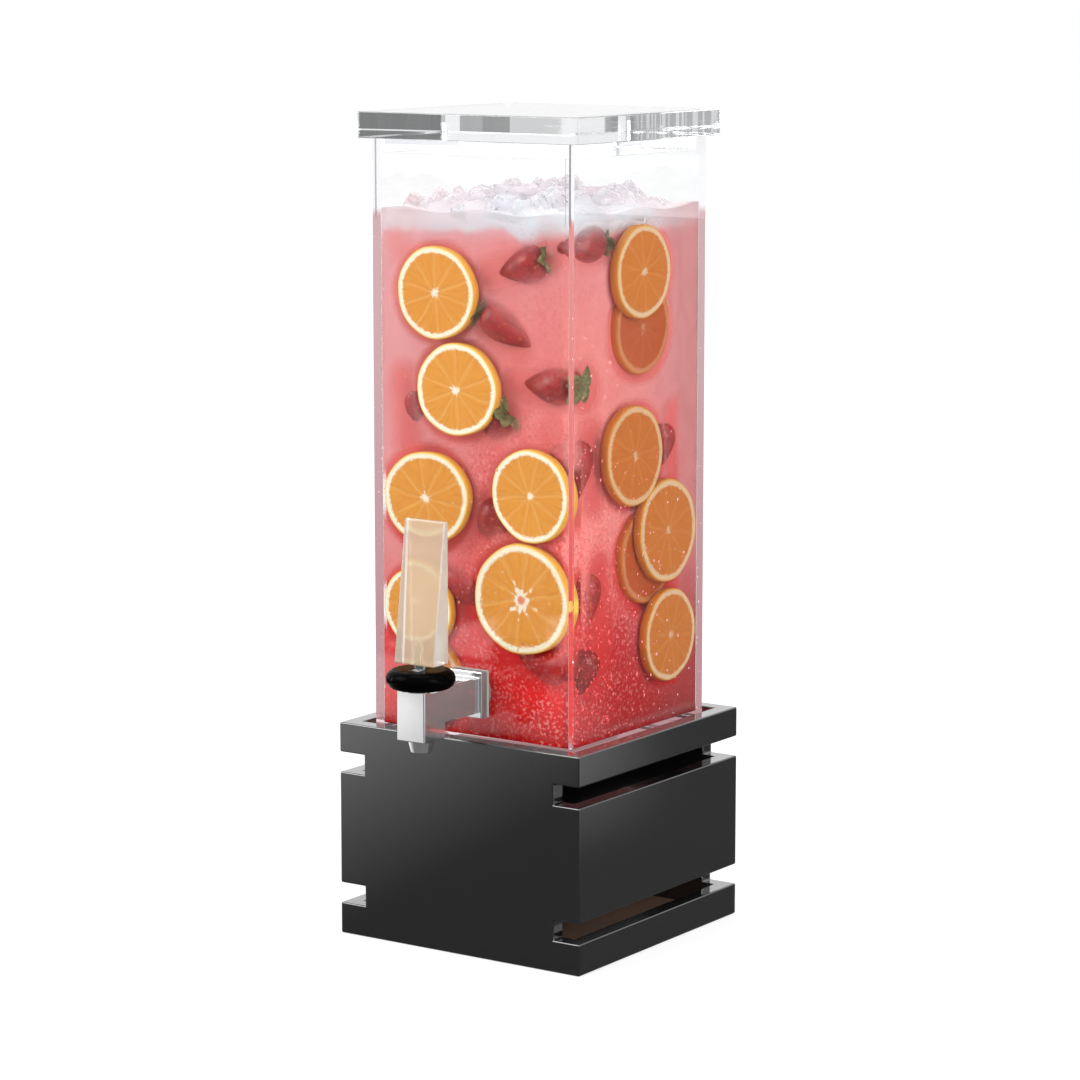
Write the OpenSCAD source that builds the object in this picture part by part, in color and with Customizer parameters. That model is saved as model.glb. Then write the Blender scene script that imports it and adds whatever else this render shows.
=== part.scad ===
// Buffet beverage dispenser: a clear square container with a lift-off lid and a
// lever tap, standing in a slotted gloss black base.
// Millimetres, +Z up. The origin is the centre of the base's underside, and the tap faces -Y.

/* [Container] */
// Outside width of the square container
container_side = 164; // [120:1:220]
// Height of the container, from its underside to its mouth
container_h = 409; // [250:1:520]
// Thickness of the container's walls
wall_t = 5; // [3:0.5:8]
// Thickness of the container's floor
floor_t = 6; // [4:0.5:10]

/* [Lid] */
// Thickness of the lid's plate
lid_t = 18; // [8:0.5:25]
// How far the lid's plate stands out past the container's walls
lid_overhang = 8.5; // [4:0.5:15]
// Radius of the lid plate's upright corners
lid_corner_r = 6; // [2:0.5:10]
// Thickness of the plug under the lid's plate
plug_t = 10; // [5:0.5:20]
// Gap between the plug and the container's walls
plug_gap = 1.5; // [0.5:0.1:3]

/* [Base] */
// Height of the base
base_h = 150; // [120:1:220]
// Thickness of the base's panels and strips
panel_t = 12; // [8:0.5:16]
// Gap between the container and the base's rim
rim_gap = 6; // [2:0.5:10]
// Height of the side strips along the rim
top_strip_h = 21; // [18:0.5:30]
// Height of the side strips along the bottom
bottom_strip_h = 22; // [12:0.5:30]
// Height of the slots between the side strips
slot_h = 14; // [8:0.5:20]
// Length of the notches that carry the slots round the corners
notch_l = 21; // [14:0.5:40]
// How deep the container stands in the base
seat_depth = 7; // [4:0.5:10]
// How far the seat ledges reach under the container
ledge_lap = 8; // [6:0.5:20]
// Height of the seat ledges
ledge_h = 10; // [6:0.5:12]
// Thickness of the base's bottom plate
bottom_plate_t = 6; // [3:0.5:12]

/* [Tap fixing] */
// Height of the tap's shank above the container's floor
tap_rise = 31; // [24:0.5:60]
// Diameter of the shank
shank_d = 16; // [12:0.5:18]
// Diameter of the passage through the shank and the arm
passage_d = 9; // [6:0.5:10]
// Radial gap between the shank and the hole in the container's wall
wall_hole_gap = 0.25; // [0.1:0.05:1]
// Depth of the shank's socket in the arm
socket_l = 12; // [8:0.5:20]
// Length of the shank that shows past its nut
shank_proud = 3; // [1:0.5:8]
// Width of the flange plate
flange_w = 28; // [26:0.5:36]
// Height of the flange plate
flange_h = 32; // [28:0.5:40]
// Thickness of the flange plate
flange_t = 7; // [3:0.5:10]
// Thickness of the gasket behind the flange plate
gasket_t = 2; // [1:0.5:4]
// Diameter of the washer inside the container
washer_d = 27; // [24:0.5:34]
// Thickness of the washer inside the container
washer_t = 2.5; // [1:0.5:4]
// Width of the shank's nut across its flats
nut_w = 24; // [21:0.5:30]
// Thickness of the shank's nut
nut_t = 8; // [5:0.5:12]

/* [Tap body] */
// Width of the tap's block and arm
block_w = 23; // [22:0.5:30]
// Depth of the block, front to back
block_d = 24; // [22:0.5:32]
// Height of the block
block_h = 35; // [31:0.5:44]
// Length of the arm from the flange plate to the block
arm_l = 37.5; // [16:0.5:60]
// Height of the arm
arm_h = 24.5; // [22:0.5:28]
// Diameter of the neck that carries the bonnet
neck_d = 30; // [28:0.5:36]
// Height of the neck
neck_h = 5; // [4:0.5:6]
// Diameter of the valve chamber
chamber_d = 18; // [17:0.5:19]
// Diameter of the outlet under the valve
outlet_d = 9.5; // [6:0.5:10]
// Thickness of the valve's seat at the bottom of the chamber
seat_t = 4.5; // [3:0.5:6]
// Diameter of the spout at its top
spout_top_d = 18; // [14:0.5:22]
// Diameter of the spout at its tip
spout_tip_d = 14; // [12:0.5:14]
// Length of the spout
spout_l = 8; // [5:0.5:20]

/* [Valve] */
// Diameter of the bonnet ring
bonnet_d = 46.5; // [44:0.5:60]
// Height of the bonnet ring
bonnet_h = 13; // [12.5:0.5:16]
// Diameter of the stem guide's disc and of the seat cup's rim
rim_d = 22; // [21:0.5:25]
// Thickness of the stem guide's disc
guide_t = 2; // [1:0.25:2]
// Length of the stem guide's boss
guide_boss_l = 8; // [4:0.5:12]
// Diameter of the valve stem
stem_d = 4.6; // [3.6:0.1:5]
// Diameter of the seat cup's plug
cup_plug_d = 12.4; // [12:0.1:15]
// Height of the seat cup's plug
cup_plug_h = 7; // [6:0.5:9]
// Thickness of the seat cup's skirt
cup_wall_t = 1.2; // [0.8:0.1:1.5]
// Thickness of the seat cup's floor
cup_floor_t = 5; // [4.5:0.5:6]
// Thickness of the seat cup's rim
cup_rim_t = 2; // [1.5:0.25:3]
// Diameter of the spring's wire
spring_wire_d = 1; // [0.6:0.1:1.2]
// Number of turns of the return spring
spring_turns = 7; // [5:1:9]

/* [Handle] */
// Height of the handle
handle_h = 96; // [60:1:130]
// Width of the handle
handle_w = 33; // [20:0.5:40]
// Depth of the handle at its foot
handle_foot_d = 17; // [15:0.5:24]
// Depth of the handle at its tip
handle_tip_d = 4; // [3:0.5:12]
// Distance from the tap's axis to the handle's upright back face
handle_back = 9; // [7:0.5:10]
// Gap between the handle's foot and the bonnet ring
handle_gap = 3.5; // [3:0.5:8]
// Diameter of the lever's stud in the handle
stud_d = 8; // [6:0.5:8]
// Straight length of the lever's stud
stud_l = 12; // [8:0.5:24]
// Width of the lever's shoulder under the handle, round the stud
shoulder_w = 0.5; // [0.3:0.1:1.5]
// Height of the lever's bar between its two pins
lever_h = 5.4; // [5:0.1:6]
// Distance from the tap's axis to the lever's pivot
pivot_offset = 6.5; // [6:0.25:8]
// Diameter of the pivot pin
pivot_pin_d = 3; // [2:0.1:3.2]
// Length of the pivot pin that is held on its far side
pivot_pin_hold = 5; // [3:0.5:8]
// Diameter of the stem pin
stem_pin_d = 2.5; // [2:0.1:2.6]
// Thickness of the stem's flat head
head_t = 3; // [2:0.1:3.4]
// Width of metal round the eye in the stem's head
head_wall = 1; // [0.6:0.1:1.2]
// How far the handle is pulled forward to open the tap, in degrees
open_angle = 30; // [15:1:35]

/* [Fits] */
// Radial gap between pieces that are screwed, pressed or pushed together
slip = 0.05; // [0.02:0.01:0.1]
// Radial gap between a pin or stem and the hole that it turns or slides in
running = 0.06; // [0.03:0.01:0.1]
// Gap round the lever inside the bonnet and round the stem's head
lever_gap = 0.3; // [0.2:0.05:0.4]
// Gap round the stem pin in the stem's long eye
eye_gap = 0.15; // [0.12:0.01:0.2]
// Gap between the return spring and the seat cup, and half of its gap round the stem guide
spring_gap = 0.1; // [0.05:0.05:0.2]
// Gap between the seat cup's skirt and the wall of the valve chamber
skirt_gap = 0.4; // [0.2:0.1:0.8]

/* [Hidden] */
$fn = 64;
// A cut runs this far past the face that it opens through
past = 1;

half = container_side / 2;
inner_half = half - wall_t;
base_inner = half + rim_gap;
base_half = base_inner + panel_t;
seat_z = base_h - seat_depth;
floor_z = seat_z + floor_t;
mouth_z = seat_z + container_h;
lid_half = half + lid_overhang;
plug_side = 2 * (inner_half - plug_gap);

lower_slot_z = bottom_strip_h;
upper_slot_z = base_h - top_strip_h - slot_h;
middle_z = lower_slot_z + slot_h;
middle_h = upper_slot_z - middle_z;
ledge_z = seat_z - ledge_h;
ledge_w = rim_gap + ledge_lap;

tap_z = floor_z + tap_rise;
gasket_y = -half - gasket_t;
flange_y = gasket_y - flange_t;
block_y = flange_y - arm_l - block_d / 2;
block_top = tap_z + arm_h / 2;
block_bottom = block_top - block_h;
neck_top = block_top + neck_h;
bonnet_top = block_top + bonnet_h;
valve_seat_z = block_bottom + seat_t;
washer_y = -inner_half;
nut_y = washer_y + washer_t;
shank_end_y = nut_y + nut_t + shank_proud;

guide_top = neck_top + guide_t;
cup_rim_z = neck_top - cup_rim_t;
cup_floor_z = valve_seat_z + cup_floor_t;
skirt_r = chamber_d / 2 - skirt_gap;
plug_r = cup_plug_d / 2;
// Bevel round the plug's lower edge
plug_edge = 1;
spring_d = 2 * (plug_r - cup_wall_t - spring_gap) - spring_wire_d;
guide_boss_d = spring_d - spring_wire_d - 4 * spring_gap;

pivot_y = block_y - pivot_offset;
lever_r = lever_h / 2;
lever_w = stud_d + 2 * shoulder_w;
pivot_z = guide_top + lever_gap + lever_r;
pivot_pin_far = lever_w / 2 + pivot_pin_hold;
bonnet_round = bonnet_h / 2;
bonnet_flat_r = bonnet_d / 2 - bonnet_round;
handle_z = bonnet_top + handle_gap;

// The stem's pin swings forward by this much while the lever opens the valve
pin_swing = pivot_offset * (1 - cos(open_angle));
eye_d = stem_pin_d + 2 * eye_gap;
head_r = eye_d / 2 + head_wall;
head_w = pin_swing + 2 * head_r;
head_y = block_y - pin_swing / 2;
tang_w = sqrt(stem_d * stem_d - head_t * head_t) - 2 * slip;
// The lever's slot leaves room for the stem's head at every angle
slot_front = head_w / 2 + pin_swing / 2 + 2 * lever_gap;
slot_roof = head_r + head_w / 2 * sin(open_angle) + lever_gap;

// Button at the stem's foot, and the neck above it
button_t = 1.5;
button_neck_d = 2.6;
spring_low = cup_floor_z + spring_wire_d / 2;
spring_high = neck_top - spring_wire_d / 2;
spring_steps = 12;
spring_sides = 6;

base_black = [0.09, 0.09, 0.1];
clear_acrylic = [0.86, 0.93, 0.95, 0.4];
bright_chrome = [0.8, 0.81, 0.83];
black_plastic = [0.05, 0.05, 0.05];
tinted_acrylic = [0.93, 0.85, 0.72, 0.6];
steel = [0.62, 0.63, 0.65];
silicone = [0.78, 0.8, 0.78];
white_plastic = [0.9, 0.9, 0.88];

// Shapes that several pieces share

// A square block on the axis, standing on z0
module square_block(side, z0, h) {
    translate([-side / 2, -side / 2, z0]) cube([side, side, h]);
}

// A block that is centred across X, from y0 backwards and z0 upwards
module centred_block(w, y0, d, z0, h) {
    translate([-w / 2, y0, z0]) cube([w, d, h]);
}

// A cylinder along +Y at the tap's height, from y0 backwards
module along_shank(d, y0, l, sides = 64) {
    translate([0, y0, tap_z]) rotate([-90, 0, 0]) cylinder(d = d, h = l, $fn = sides);
}

// A cylinder along X through (y, z), between x0 and x1
module along_pin(d, y, z, x0, x1) {
    translate([x0, y, z]) rotate([0, 90, 0]) cylinder(d = d, h = x1 - x0);
}

// A cylinder on the valve's upright axis
module on_valve_axis(d, z0, h) {
    translate([0, block_y, z0]) cylinder(d = d, h = h);
}

// A square with round corners, made of straight bands and four quarter rounds
module round_cornered_square(side_half, r) {
    flat = side_half - r;
    square([2 * flat, 2 * side_half], center = true);
    square([2 * side_half, 2 * flat], center = true);
    for (sx = [-1, 1], sy = [-1, 1]) translate([sx * flat, sy * flat]) circle(r = r);
}

// Base

// A full-width panel whose edges are notched at both slots
module notched_panel(y0) {
    difference() {
        centred_block(2 * base_half, y0, panel_t, 0, base_h);
        for (sx = [-1, 1], z = [lower_slot_z, upper_slot_z])
            translate([sx * (base_half - notch_l / 2 + past / 2), y0 + panel_t / 2, z + slot_h / 2])
                cube([notch_l + past, panel_t + 2 * past, slot_h], center = true);
    }
}

module base_front_panel() { color(base_black) notched_panel(-base_half); }
module base_back_panel() { color(base_black) notched_panel(base_inner); }

// A strip between the front and back panels, on the left (-1) or right (1)
module side_strip(side, z0, h) {
    x0 = side < 0 ? -base_half : base_inner;
    color(base_black) translate([x0, -base_inner, z0]) cube([panel_t, 2 * base_inner, h]);
}

module left_top_strip() { side_strip(-1, upper_slot_z + slot_h, top_strip_h); }
module left_middle_strip() { side_strip(-1, middle_z, middle_h); }
module left_bottom_strip() { side_strip(-1, 0, bottom_strip_h); }
module right_top_strip() { side_strip(1, upper_slot_z + slot_h, top_strip_h); }
module right_middle_strip() { side_strip(1, middle_z, middle_h); }
module right_bottom_strip() { side_strip(1, 0, bottom_strip_h); }

module base_bottom_plate() { color(base_black) square_block(2 * base_inner, 0, bottom_plate_t); }

// The front and back ledges run the whole width, and the side ledges fill in between them
module cross_ledge(y0) {
    color(base_black) centred_block(2 * base_inner, y0, ledge_w, ledge_z, ledge_h);
}

module long_ledge(x0) {
    l = 2 * (base_inner - ledge_w);
    color(base_black) translate([x0, -l / 2, ledge_z]) cube([ledge_w, l, ledge_h]);
}

module front_ledge() { cross_ledge(-base_inner); }
module back_ledge() { cross_ledge(base_inner - ledge_w); }
module left_ledge() { long_ledge(-base_inner); }
module right_ledge() { long_ledge(base_inner - ledge_w); }

// Container

module container_front_wall() {
    color(clear_acrylic) difference() {
        centred_block(container_side, -half, wall_t, seat_z, container_h);
        along_shank(shank_d + 2 * wall_hole_gap, -half - past, wall_t + 2 * past);
    }
}

module container_back_wall() {
    color(clear_acrylic) centred_block(container_side, inner_half, wall_t, seat_z, container_h);
}

module container_side_wall(x0) {
    color(clear_acrylic) translate([x0, -inner_half, seat_z]) cube([wall_t, 2 * inner_half, container_h]);
}

module container_left_wall() { container_side_wall(-half); }
module container_right_wall() { container_side_wall(inner_half); }
module container_floor() { color(clear_acrylic) square_block(2 * inner_half, seat_z, floor_t); }

// Lid

module lid_plate() {
    color(clear_acrylic) translate([0, 0, mouth_z])
        linear_extrude(lid_t) round_cornered_square(lid_half, lid_corner_r);
}

module lid_plug() { color(clear_acrylic) square_block(plug_side, mouth_z - plug_t, plug_t); }

// Tap, from the container outwards

module tap_gasket() {
    color(silicone) difference() {
        centred_block(flange_w, gasket_y, gasket_t, tap_z - flange_h / 2, flange_h);
        along_shank(shank_d + 2 * slip, gasket_y - past, gasket_t + 2 * past);
    }
}

module tap_flange() {
    color(bright_chrome) difference() {
        centred_block(flange_w, flange_y, flange_t, tap_z - flange_h / 2, flange_h);
        along_shank(shank_d + 2 * slip, flange_y - past, flange_t + 2 * past);
    }
}

module tap_shank() {
    l = shank_end_y - flange_y + socket_l;
    color(bright_chrome) difference() {
        along_shank(shank_d, flange_y - socket_l, l);
        along_shank(passage_d, flange_y - socket_l - past, l + 2 * past);
    }
}

module inner_washer() {
    color(silicone) difference() {
        along_shank(washer_d, washer_y, washer_t);
        along_shank(shank_d + 2 * slip, washer_y - past, washer_t + 2 * past);
    }
}

module shank_nut() {
    color(bright_chrome) difference() {
        along_shank(nut_w / cos(30), nut_y, nut_t, 6);
        along_shank(shank_d + 2 * slip, nut_y - past, nut_t + 2 * past);
    }
}

// The block, its arm and the neck are one casting, bored for the drink and the valve
module tap_body() {
    arm_y = block_y + block_d / 2;
    color(bright_chrome) difference() {
        union() {
            centred_block(block_w, block_y - block_d / 2, block_d, block_bottom, block_h);
            centred_block(block_w, arm_y, arm_l, block_top - arm_h, arm_h);
            on_valve_axis(neck_d, block_top, neck_h);
        }
        along_shank(shank_d + 2 * slip, flange_y - socket_l, socket_l + past);
        along_shank(passage_d, block_y, flange_y - block_y);
        on_valve_axis(chamber_d, valve_seat_z, neck_top - valve_seat_z + past);
        on_valve_axis(rim_d + 2 * slip, cup_rim_z, cup_rim_t + past);
        on_valve_axis(outlet_d, block_bottom - past, seat_t + 2 * past);
    }
}

module spout_tip() {
    color(bright_chrome) difference() {
        translate([0, block_y, block_bottom - spout_l])
            cylinder(d1 = spout_tip_d, d2 = spout_top_d, h = spout_l);
        on_valve_axis(outlet_d, block_bottom - spout_l - past, spout_l + 2 * past);
    }
}

// A ring with a fully round edge, recessed for the neck and the stem guide, with a slot for the lever
module bonnet_ring() {
    slot_half = lever_w / 2 + lever_gap;
    slot_y0 = pivot_y - lever_r - lever_gap;
    color(black_plastic) difference() {
        translate([0, block_y, block_top]) rotate_extrude() {
            translate([bonnet_flat_r, bonnet_round]) circle(r = bonnet_round);
            square([bonnet_flat_r, bonnet_h]);
        }
        on_valve_axis(neck_d + 2 * slip, block_top - past, neck_h + past);
        on_valve_axis(rim_d + 2 * slip, neck_top - past, guide_t + past);
        centred_block(2 * slot_half, slot_y0, block_y + slot_half - slot_y0, neck_top, bonnet_h);
        along_pin(pivot_pin_d + 2 * slip, pivot_y, pivot_z, -bonnet_d / 2, pivot_pin_far);
    }
}

module stem_guide() {
    color(white_plastic) difference() {
        union() {
            on_valve_axis(rim_d, neck_top, guide_t);
            on_valve_axis(guide_boss_d, neck_top - guide_boss_l, guide_boss_l);
        }
        on_valve_axis(stem_d + 2 * running, neck_top - guide_boss_l - past, guide_boss_l + guide_t + 2 * past);
    }
}

// Pushed in from the left, it stays just under the bonnet's skin
module pivot_pin() {
    color(steel) along_pin(pivot_pin_d, pivot_y, pivot_z, -bonnet_flat_r, pivot_pin_far);
}

// Handle and valve

// The lever turns on the pivot pin, and its stud carries the handle
module handle_lever() {
    slot_w = head_t + 2 * lever_gap;
    color(steel) difference() {
        union() {
            for (y = [pivot_y, block_y]) along_pin(2 * lever_r, y, pivot_z, -lever_w / 2, lever_w / 2);
            centred_block(lever_w, pivot_y, pivot_offset, pivot_z - lever_r, 2 * lever_r);
            on_valve_axis(lever_w, pivot_z, handle_z - pivot_z);
            on_valve_axis(stud_d, handle_z, stud_l);
            translate([0, block_y, handle_z + stud_l]) sphere(d = stud_d);
        }
        along_pin(pivot_pin_d + 2 * running, pivot_y, pivot_z, -lever_w, lever_w);
        along_pin(stem_pin_d + 2 * slip, block_y, pivot_z, -lever_w, lever_w);
        centred_block(slot_w, block_y - slot_front, slot_front + lever_w, pivot_z - lever_r - past,
            lever_r + past + slot_roof);
    }
}

// A wedge with an upright back, bored from below with a domed hole for the stud
module tap_handle() {
    back_y = block_y + handle_back;
    tip_z = handle_z + handle_h;
    color(tinted_acrylic) difference() {
        translate([-handle_w / 2, 0, 0]) rotate([90, 0, 90]) linear_extrude(handle_w) polygon([
            [back_y - handle_foot_d, handle_z], [back_y, handle_z],
            [back_y, tip_z], [back_y - handle_tip_d, tip_z]
        ]);
        on_valve_axis(stud_d + 2 * slip, handle_z - past, stud_l + past);
        translate([0, block_y, handle_z + stud_l]) sphere(d = stud_d + 2 * slip);
    }
}

module stem_pin() {
    color(steel) along_pin(stem_pin_d, block_y, pivot_z, -lever_w / 2, lever_w / 2);
}

// The stem ends in a flat head with a long eye above, and in a button that the seat cup grips below
module valve_stem() {
    color(steel) difference() {
        union() {
            centred_block(head_t, head_y - head_w / 2, head_w, pivot_z - head_r, 2 * head_r);
            centred_block(head_t, block_y - tang_w / 2, tang_w, neck_top, pivot_z - neck_top);
            on_valve_axis(stem_d, cup_floor_z, neck_top - cup_floor_z);
            on_valve_axis(button_neck_d, cup_floor_z - button_t, button_t);
            on_valve_axis(stem_d, cup_floor_z - 2 * button_t, button_t);
        }
        for (y = [block_y - pin_swing, block_y]) along_pin(eye_d, y, pivot_z, -head_t, head_t);
        centred_block(2 * head_t, block_y - pin_swing, pin_swing, pivot_z - eye_d / 2, eye_d);
    }
}

// A bell of silicone: its plug closes the outlet and its rim is held under the stem guide
module seat_cup() {
    color(silicone) difference() {
        translate([0, block_y, 0]) rotate_extrude() polygon([
            [0, valve_seat_z], [plug_r - plug_edge, valve_seat_z], [plug_r, valve_seat_z + plug_edge],
            [plug_r, valve_seat_z + cup_plug_h], [skirt_r, cup_rim_z], [rim_d / 2, cup_rim_z],
            [rim_d / 2, neck_top], [skirt_r - cup_wall_t, neck_top], [skirt_r - cup_wall_t, cup_rim_z],
            [plug_r - cup_wall_t, valve_seat_z + cup_plug_h], [plug_r - cup_wall_t, cup_floor_z], [0, cup_floor_z]
        ]);
        on_valve_axis(button_neck_d + 2 * slip, cup_floor_z - button_t, button_t + past);
        on_valve_axis(stem_d + 2 * slip, cup_floor_z - 2 * button_t, button_t);
    }
}

// One unbroken wire that climbs from the seat cup's floor to the stem guide
function spring_point(turn, side) =
    let (a = 360 * turn, b = 360 * side / spring_sides, r = (spring_d + spring_wire_d * cos(b)) / 2)
    [r * cos(a), block_y + r * sin(a),
        spring_low + (spring_high - spring_low) * turn / spring_turns + spring_wire_d / 2 * sin(b)];

module return_spring() {
    last = spring_turns * spring_steps;
    points = [for (i = [0:last], s = [0:spring_sides - 1]) spring_point(i / spring_steps, s)];
    skin = [for (i = [0:last - 1], s = [0:spring_sides - 1])
        let (a = i * spring_sides, b = a + spring_sides, n = (s + 1) % spring_sides)
        each [[a + s, b + s, b + n], [a + s, b + n, a + n]]];
    start = [for (s = [1:spring_sides - 2]) [0, s, s + 1]];
    top = last * spring_sides;
    end = [for (s = [1:spring_sides - 2]) [top, top + s + 1, top + s]];
    color(steel) polyhedron(points, concat(skin, start, end));
}

base_front_panel();
base_back_panel();
left_top_strip();
left_middle_strip();
left_bottom_strip();
right_top_strip();
right_middle_strip();
right_bottom_strip();
base_bottom_plate();
front_ledge();
back_ledge();
left_ledge();
right_ledge();
container_front_wall();
container_back_wall();
container_left_wall();
container_right_wall();
container_floor();
lid_plate();
lid_plug();
tap_body();
tap_flange();
tap_gasket();
tap_shank();
inner_washer();
shank_nut();
spout_tip();
bonnet_ring();
stem_guide();
pivot_pin();
handle_lever();
tap_handle();
stem_pin();
valve_stem();
seat_cup();
return_spring();
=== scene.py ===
# %% [markdown]
# # A buffet beverage dispenser
# The packed model gives the exact solids: a slotted base, a clear container, a lid and a lever tap.
# This lesson dresses them: soft edges on the black base, real refraction in the acrylic, a cloudy red
# drink with fruit and ice, and drops of condensation. Everything is in metres, in the frame of the
# packed model, so a piece goes where its solid is and rides on the body that carries it.

# %% Load the packed model
import math
import bmesh
import bpy
import numpy as np
from mathutils import Matrix, Vector


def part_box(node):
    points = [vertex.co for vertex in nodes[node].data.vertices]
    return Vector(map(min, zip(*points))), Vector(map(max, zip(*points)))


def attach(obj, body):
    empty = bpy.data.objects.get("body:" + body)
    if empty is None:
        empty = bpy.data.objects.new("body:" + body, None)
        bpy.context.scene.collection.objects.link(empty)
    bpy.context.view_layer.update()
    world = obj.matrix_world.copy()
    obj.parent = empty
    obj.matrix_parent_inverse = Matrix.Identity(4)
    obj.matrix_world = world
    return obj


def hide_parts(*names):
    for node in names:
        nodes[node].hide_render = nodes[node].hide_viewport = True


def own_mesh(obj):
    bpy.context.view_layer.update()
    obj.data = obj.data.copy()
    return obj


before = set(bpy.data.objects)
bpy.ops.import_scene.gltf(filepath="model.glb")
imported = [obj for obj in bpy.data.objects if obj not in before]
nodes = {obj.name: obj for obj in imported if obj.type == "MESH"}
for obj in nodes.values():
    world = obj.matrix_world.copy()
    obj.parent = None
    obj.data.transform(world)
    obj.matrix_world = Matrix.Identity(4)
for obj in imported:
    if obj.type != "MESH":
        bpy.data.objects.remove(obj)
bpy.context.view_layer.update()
MM = 0.001


# %% [markdown]
# ## Shapes
# Most pieces here are stacks of closed rings: each ring has the same number of points, and quads join
# a ring to the next one. The box-shaped pieces are made from cells instead: a grid of boxes where some
# are filled, and a face wherever a filled cell meets an empty one. Both are whole-array sums.

# %% Rings and cells
def ring_quads(rings, around):
    """Quads between neighbouring rings: corner (i, j), then (i, j+1), (i+1, j+1) and (i+1, j)."""
    i = np.arange(rings - 1)[:, None] * around
    j = np.arange(around)[None, :]
    k = (j + 1) % around
    return np.stack([i + j, i + k, i + around + k, i + around + j], axis=-1).reshape(-1, 4)


def many_shells(stacks):
    """Points and faces of closed shells of one make: (shells, rings, around, 3), with two flat caps each."""
    count, rings, around = stacks.shape[:3]
    start = np.arange(count)[:, None, None] * rings * around
    ring = np.arange(around)
    caps = np.stack([ring[::-1], ring + (rings - 1) * around]) + start
    quads = ring_quads(rings, around) + start
    return stacks.reshape(-1, 3), quads.reshape(-1, 4).tolist() + caps.reshape(-1, around).tolist()


def capped_stack(stack):
    """Points and faces of one closed shell: rings (rings, around, 3), with a flat cap on each end."""
    return many_shells(stack[None])


def bearings(around):
    """Evenly spaced angles of a full turn: 2 pi times k / around."""
    return np.arange(around) / around * 2 * np.pi


def rounded_square(half_x, half_y, radius, per_corner):
    """Points round a rectangle: a quarter circle at each corner, centre plus radius times (cos a, sin a)."""
    a = np.linspace(0, np.pi / 2, per_corner)
    turn = np.repeat(np.arange(4) * np.pi / 2, per_corner) + np.tile(a, 4)
    sx = np.repeat([1, -1, -1, 1], per_corner)
    sy = np.repeat([1, 1, -1, -1], per_corner)
    x = sx * (half_x - radius) + radius * np.cos(turn)
    y = sy * (half_y - radius) + radius * np.sin(turn)
    return np.stack([x, y], axis=-1)


def rod(start, end, radius, around=48):
    """A closed cylinder from start to end: two rings of a circle whose plane is square to the axis."""
    start, end = np.asarray(start, float), np.asarray(end, float)
    axis = (end - start) / np.linalg.norm(end - start)
    side = np.cross(axis, [0.31, 0.52, 0.79])
    side /= np.linalg.norm(side)
    a = np.linspace(0, 2 * np.pi, around, endpoint=False)[:, None]
    circle = radius * (np.cos(a) * side + np.sin(a) * np.cross(axis, side))
    return capped_stack(np.stack([start + circle, end + circle]))


def cell_skin(xs, ys, zs, filled):
    """Skin of the filled cells of a box grid: one quad wherever a filled cell meets an empty one."""
    grid = np.stack(np.meshgrid(xs, ys, zs, indexing="ij"), axis=-1)
    index = np.arange(grid[..., 0].size).reshape(grid.shape[:3])
    full = np.pad(filled, 1)
    quads = []
    for axis in range(3):
        along = np.moveaxis(full, axis, 0)[:, 1:-1, 1:-1]
        plane, i, j = np.nonzero(along[1:] != along[:-1])
        corner = np.moveaxis(index, axis, 0)
        quads.append(np.stack([corner[plane, i, j], corner[plane, i + 1, j],
                               corner[plane, i + 1, j + 1], corner[plane, i, j + 1]], axis=-1))
    used, renumbered = np.unique(np.concatenate(quads), return_inverse=True)
    return grid.reshape(-1, 3)[used], renumbered.reshape(-1, 4).tolist()


print("a cube's skin has", len(cell_skin([0, 1], [0, 1], [0, 1], np.ones((1, 1, 1), bool))[1]), "faces")


# %% [markdown]
# ## Pieces
# Points and faces become a mesh object at the origin. Its edges are softened by a bevel, holes are cut
# by a boolean step, and weighted normals keep the large faces looking flat.

# %% New pieces, soft edges and cuts
def new_piece(name, points, faces, material, smooth=True):
    """A mesh object at the origin, with its place in its points and its faces turned outwards."""
    mesh = bpy.data.meshes.new(name)
    mesh.from_pydata(np.asarray(points).tolist(), [], faces)
    work = bmesh.new()
    work.from_mesh(mesh)
    bmesh.ops.recalc_face_normals(work, faces=work.faces)
    work.to_mesh(mesh)
    work.free()
    mesh.polygons.foreach_set("use_smooth", np.full(len(mesh.polygons), smooth))
    mesh.materials.append(material)
    piece = bpy.data.objects.new(name, mesh)
    bpy.context.scene.collection.objects.link(piece)
    return piece


def merge_flat_faces(piece):
    """Joins neighbouring faces that lie in one plane, so that a bevel only meets real edges."""
    work = bmesh.new()
    work.from_mesh(piece.data)
    bmesh.ops.dissolve_limit(work, angle_limit=math.radians(1), verts=work.verts, edges=work.edges)
    work.to_mesh(piece.data)
    work.free()


def soften_edges(piece, width, segments=3, harden=True):
    """A small rounded edge, with the flat faces kept flat by hardened normals."""
    bevel = piece.modifiers.new("soft_edges", "BEVEL")
    bevel.width = width
    bevel.segments = segments
    bevel.limit_method = "ANGLE"
    bevel.angle_limit = math.radians(40)
    bevel.harden_normals = harden


def apply_modifiers(piece):
    """Puts what the modifiers make into the mesh itself."""
    bpy.context.view_layer.update()
    made = bpy.data.meshes.new_from_object(piece.evaluated_get(bpy.context.evaluated_depsgraph_get()))
    piece.modifiers.clear()
    piece.data = made


def combine(piece, shape, operation):
    """Cuts a closed shape out of a piece (DIFFERENCE), or adds it to the piece (UNION)."""
    tool = new_piece("combining_tool", *shape, piece.data.materials[0])
    step = piece.modifiers.new("combine", "BOOLEAN")
    step.operation = operation
    step.solver = "EXACT"
    step.object = tool
    apply_modifiers(piece)
    bpy.data.objects.remove(tool)


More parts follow.
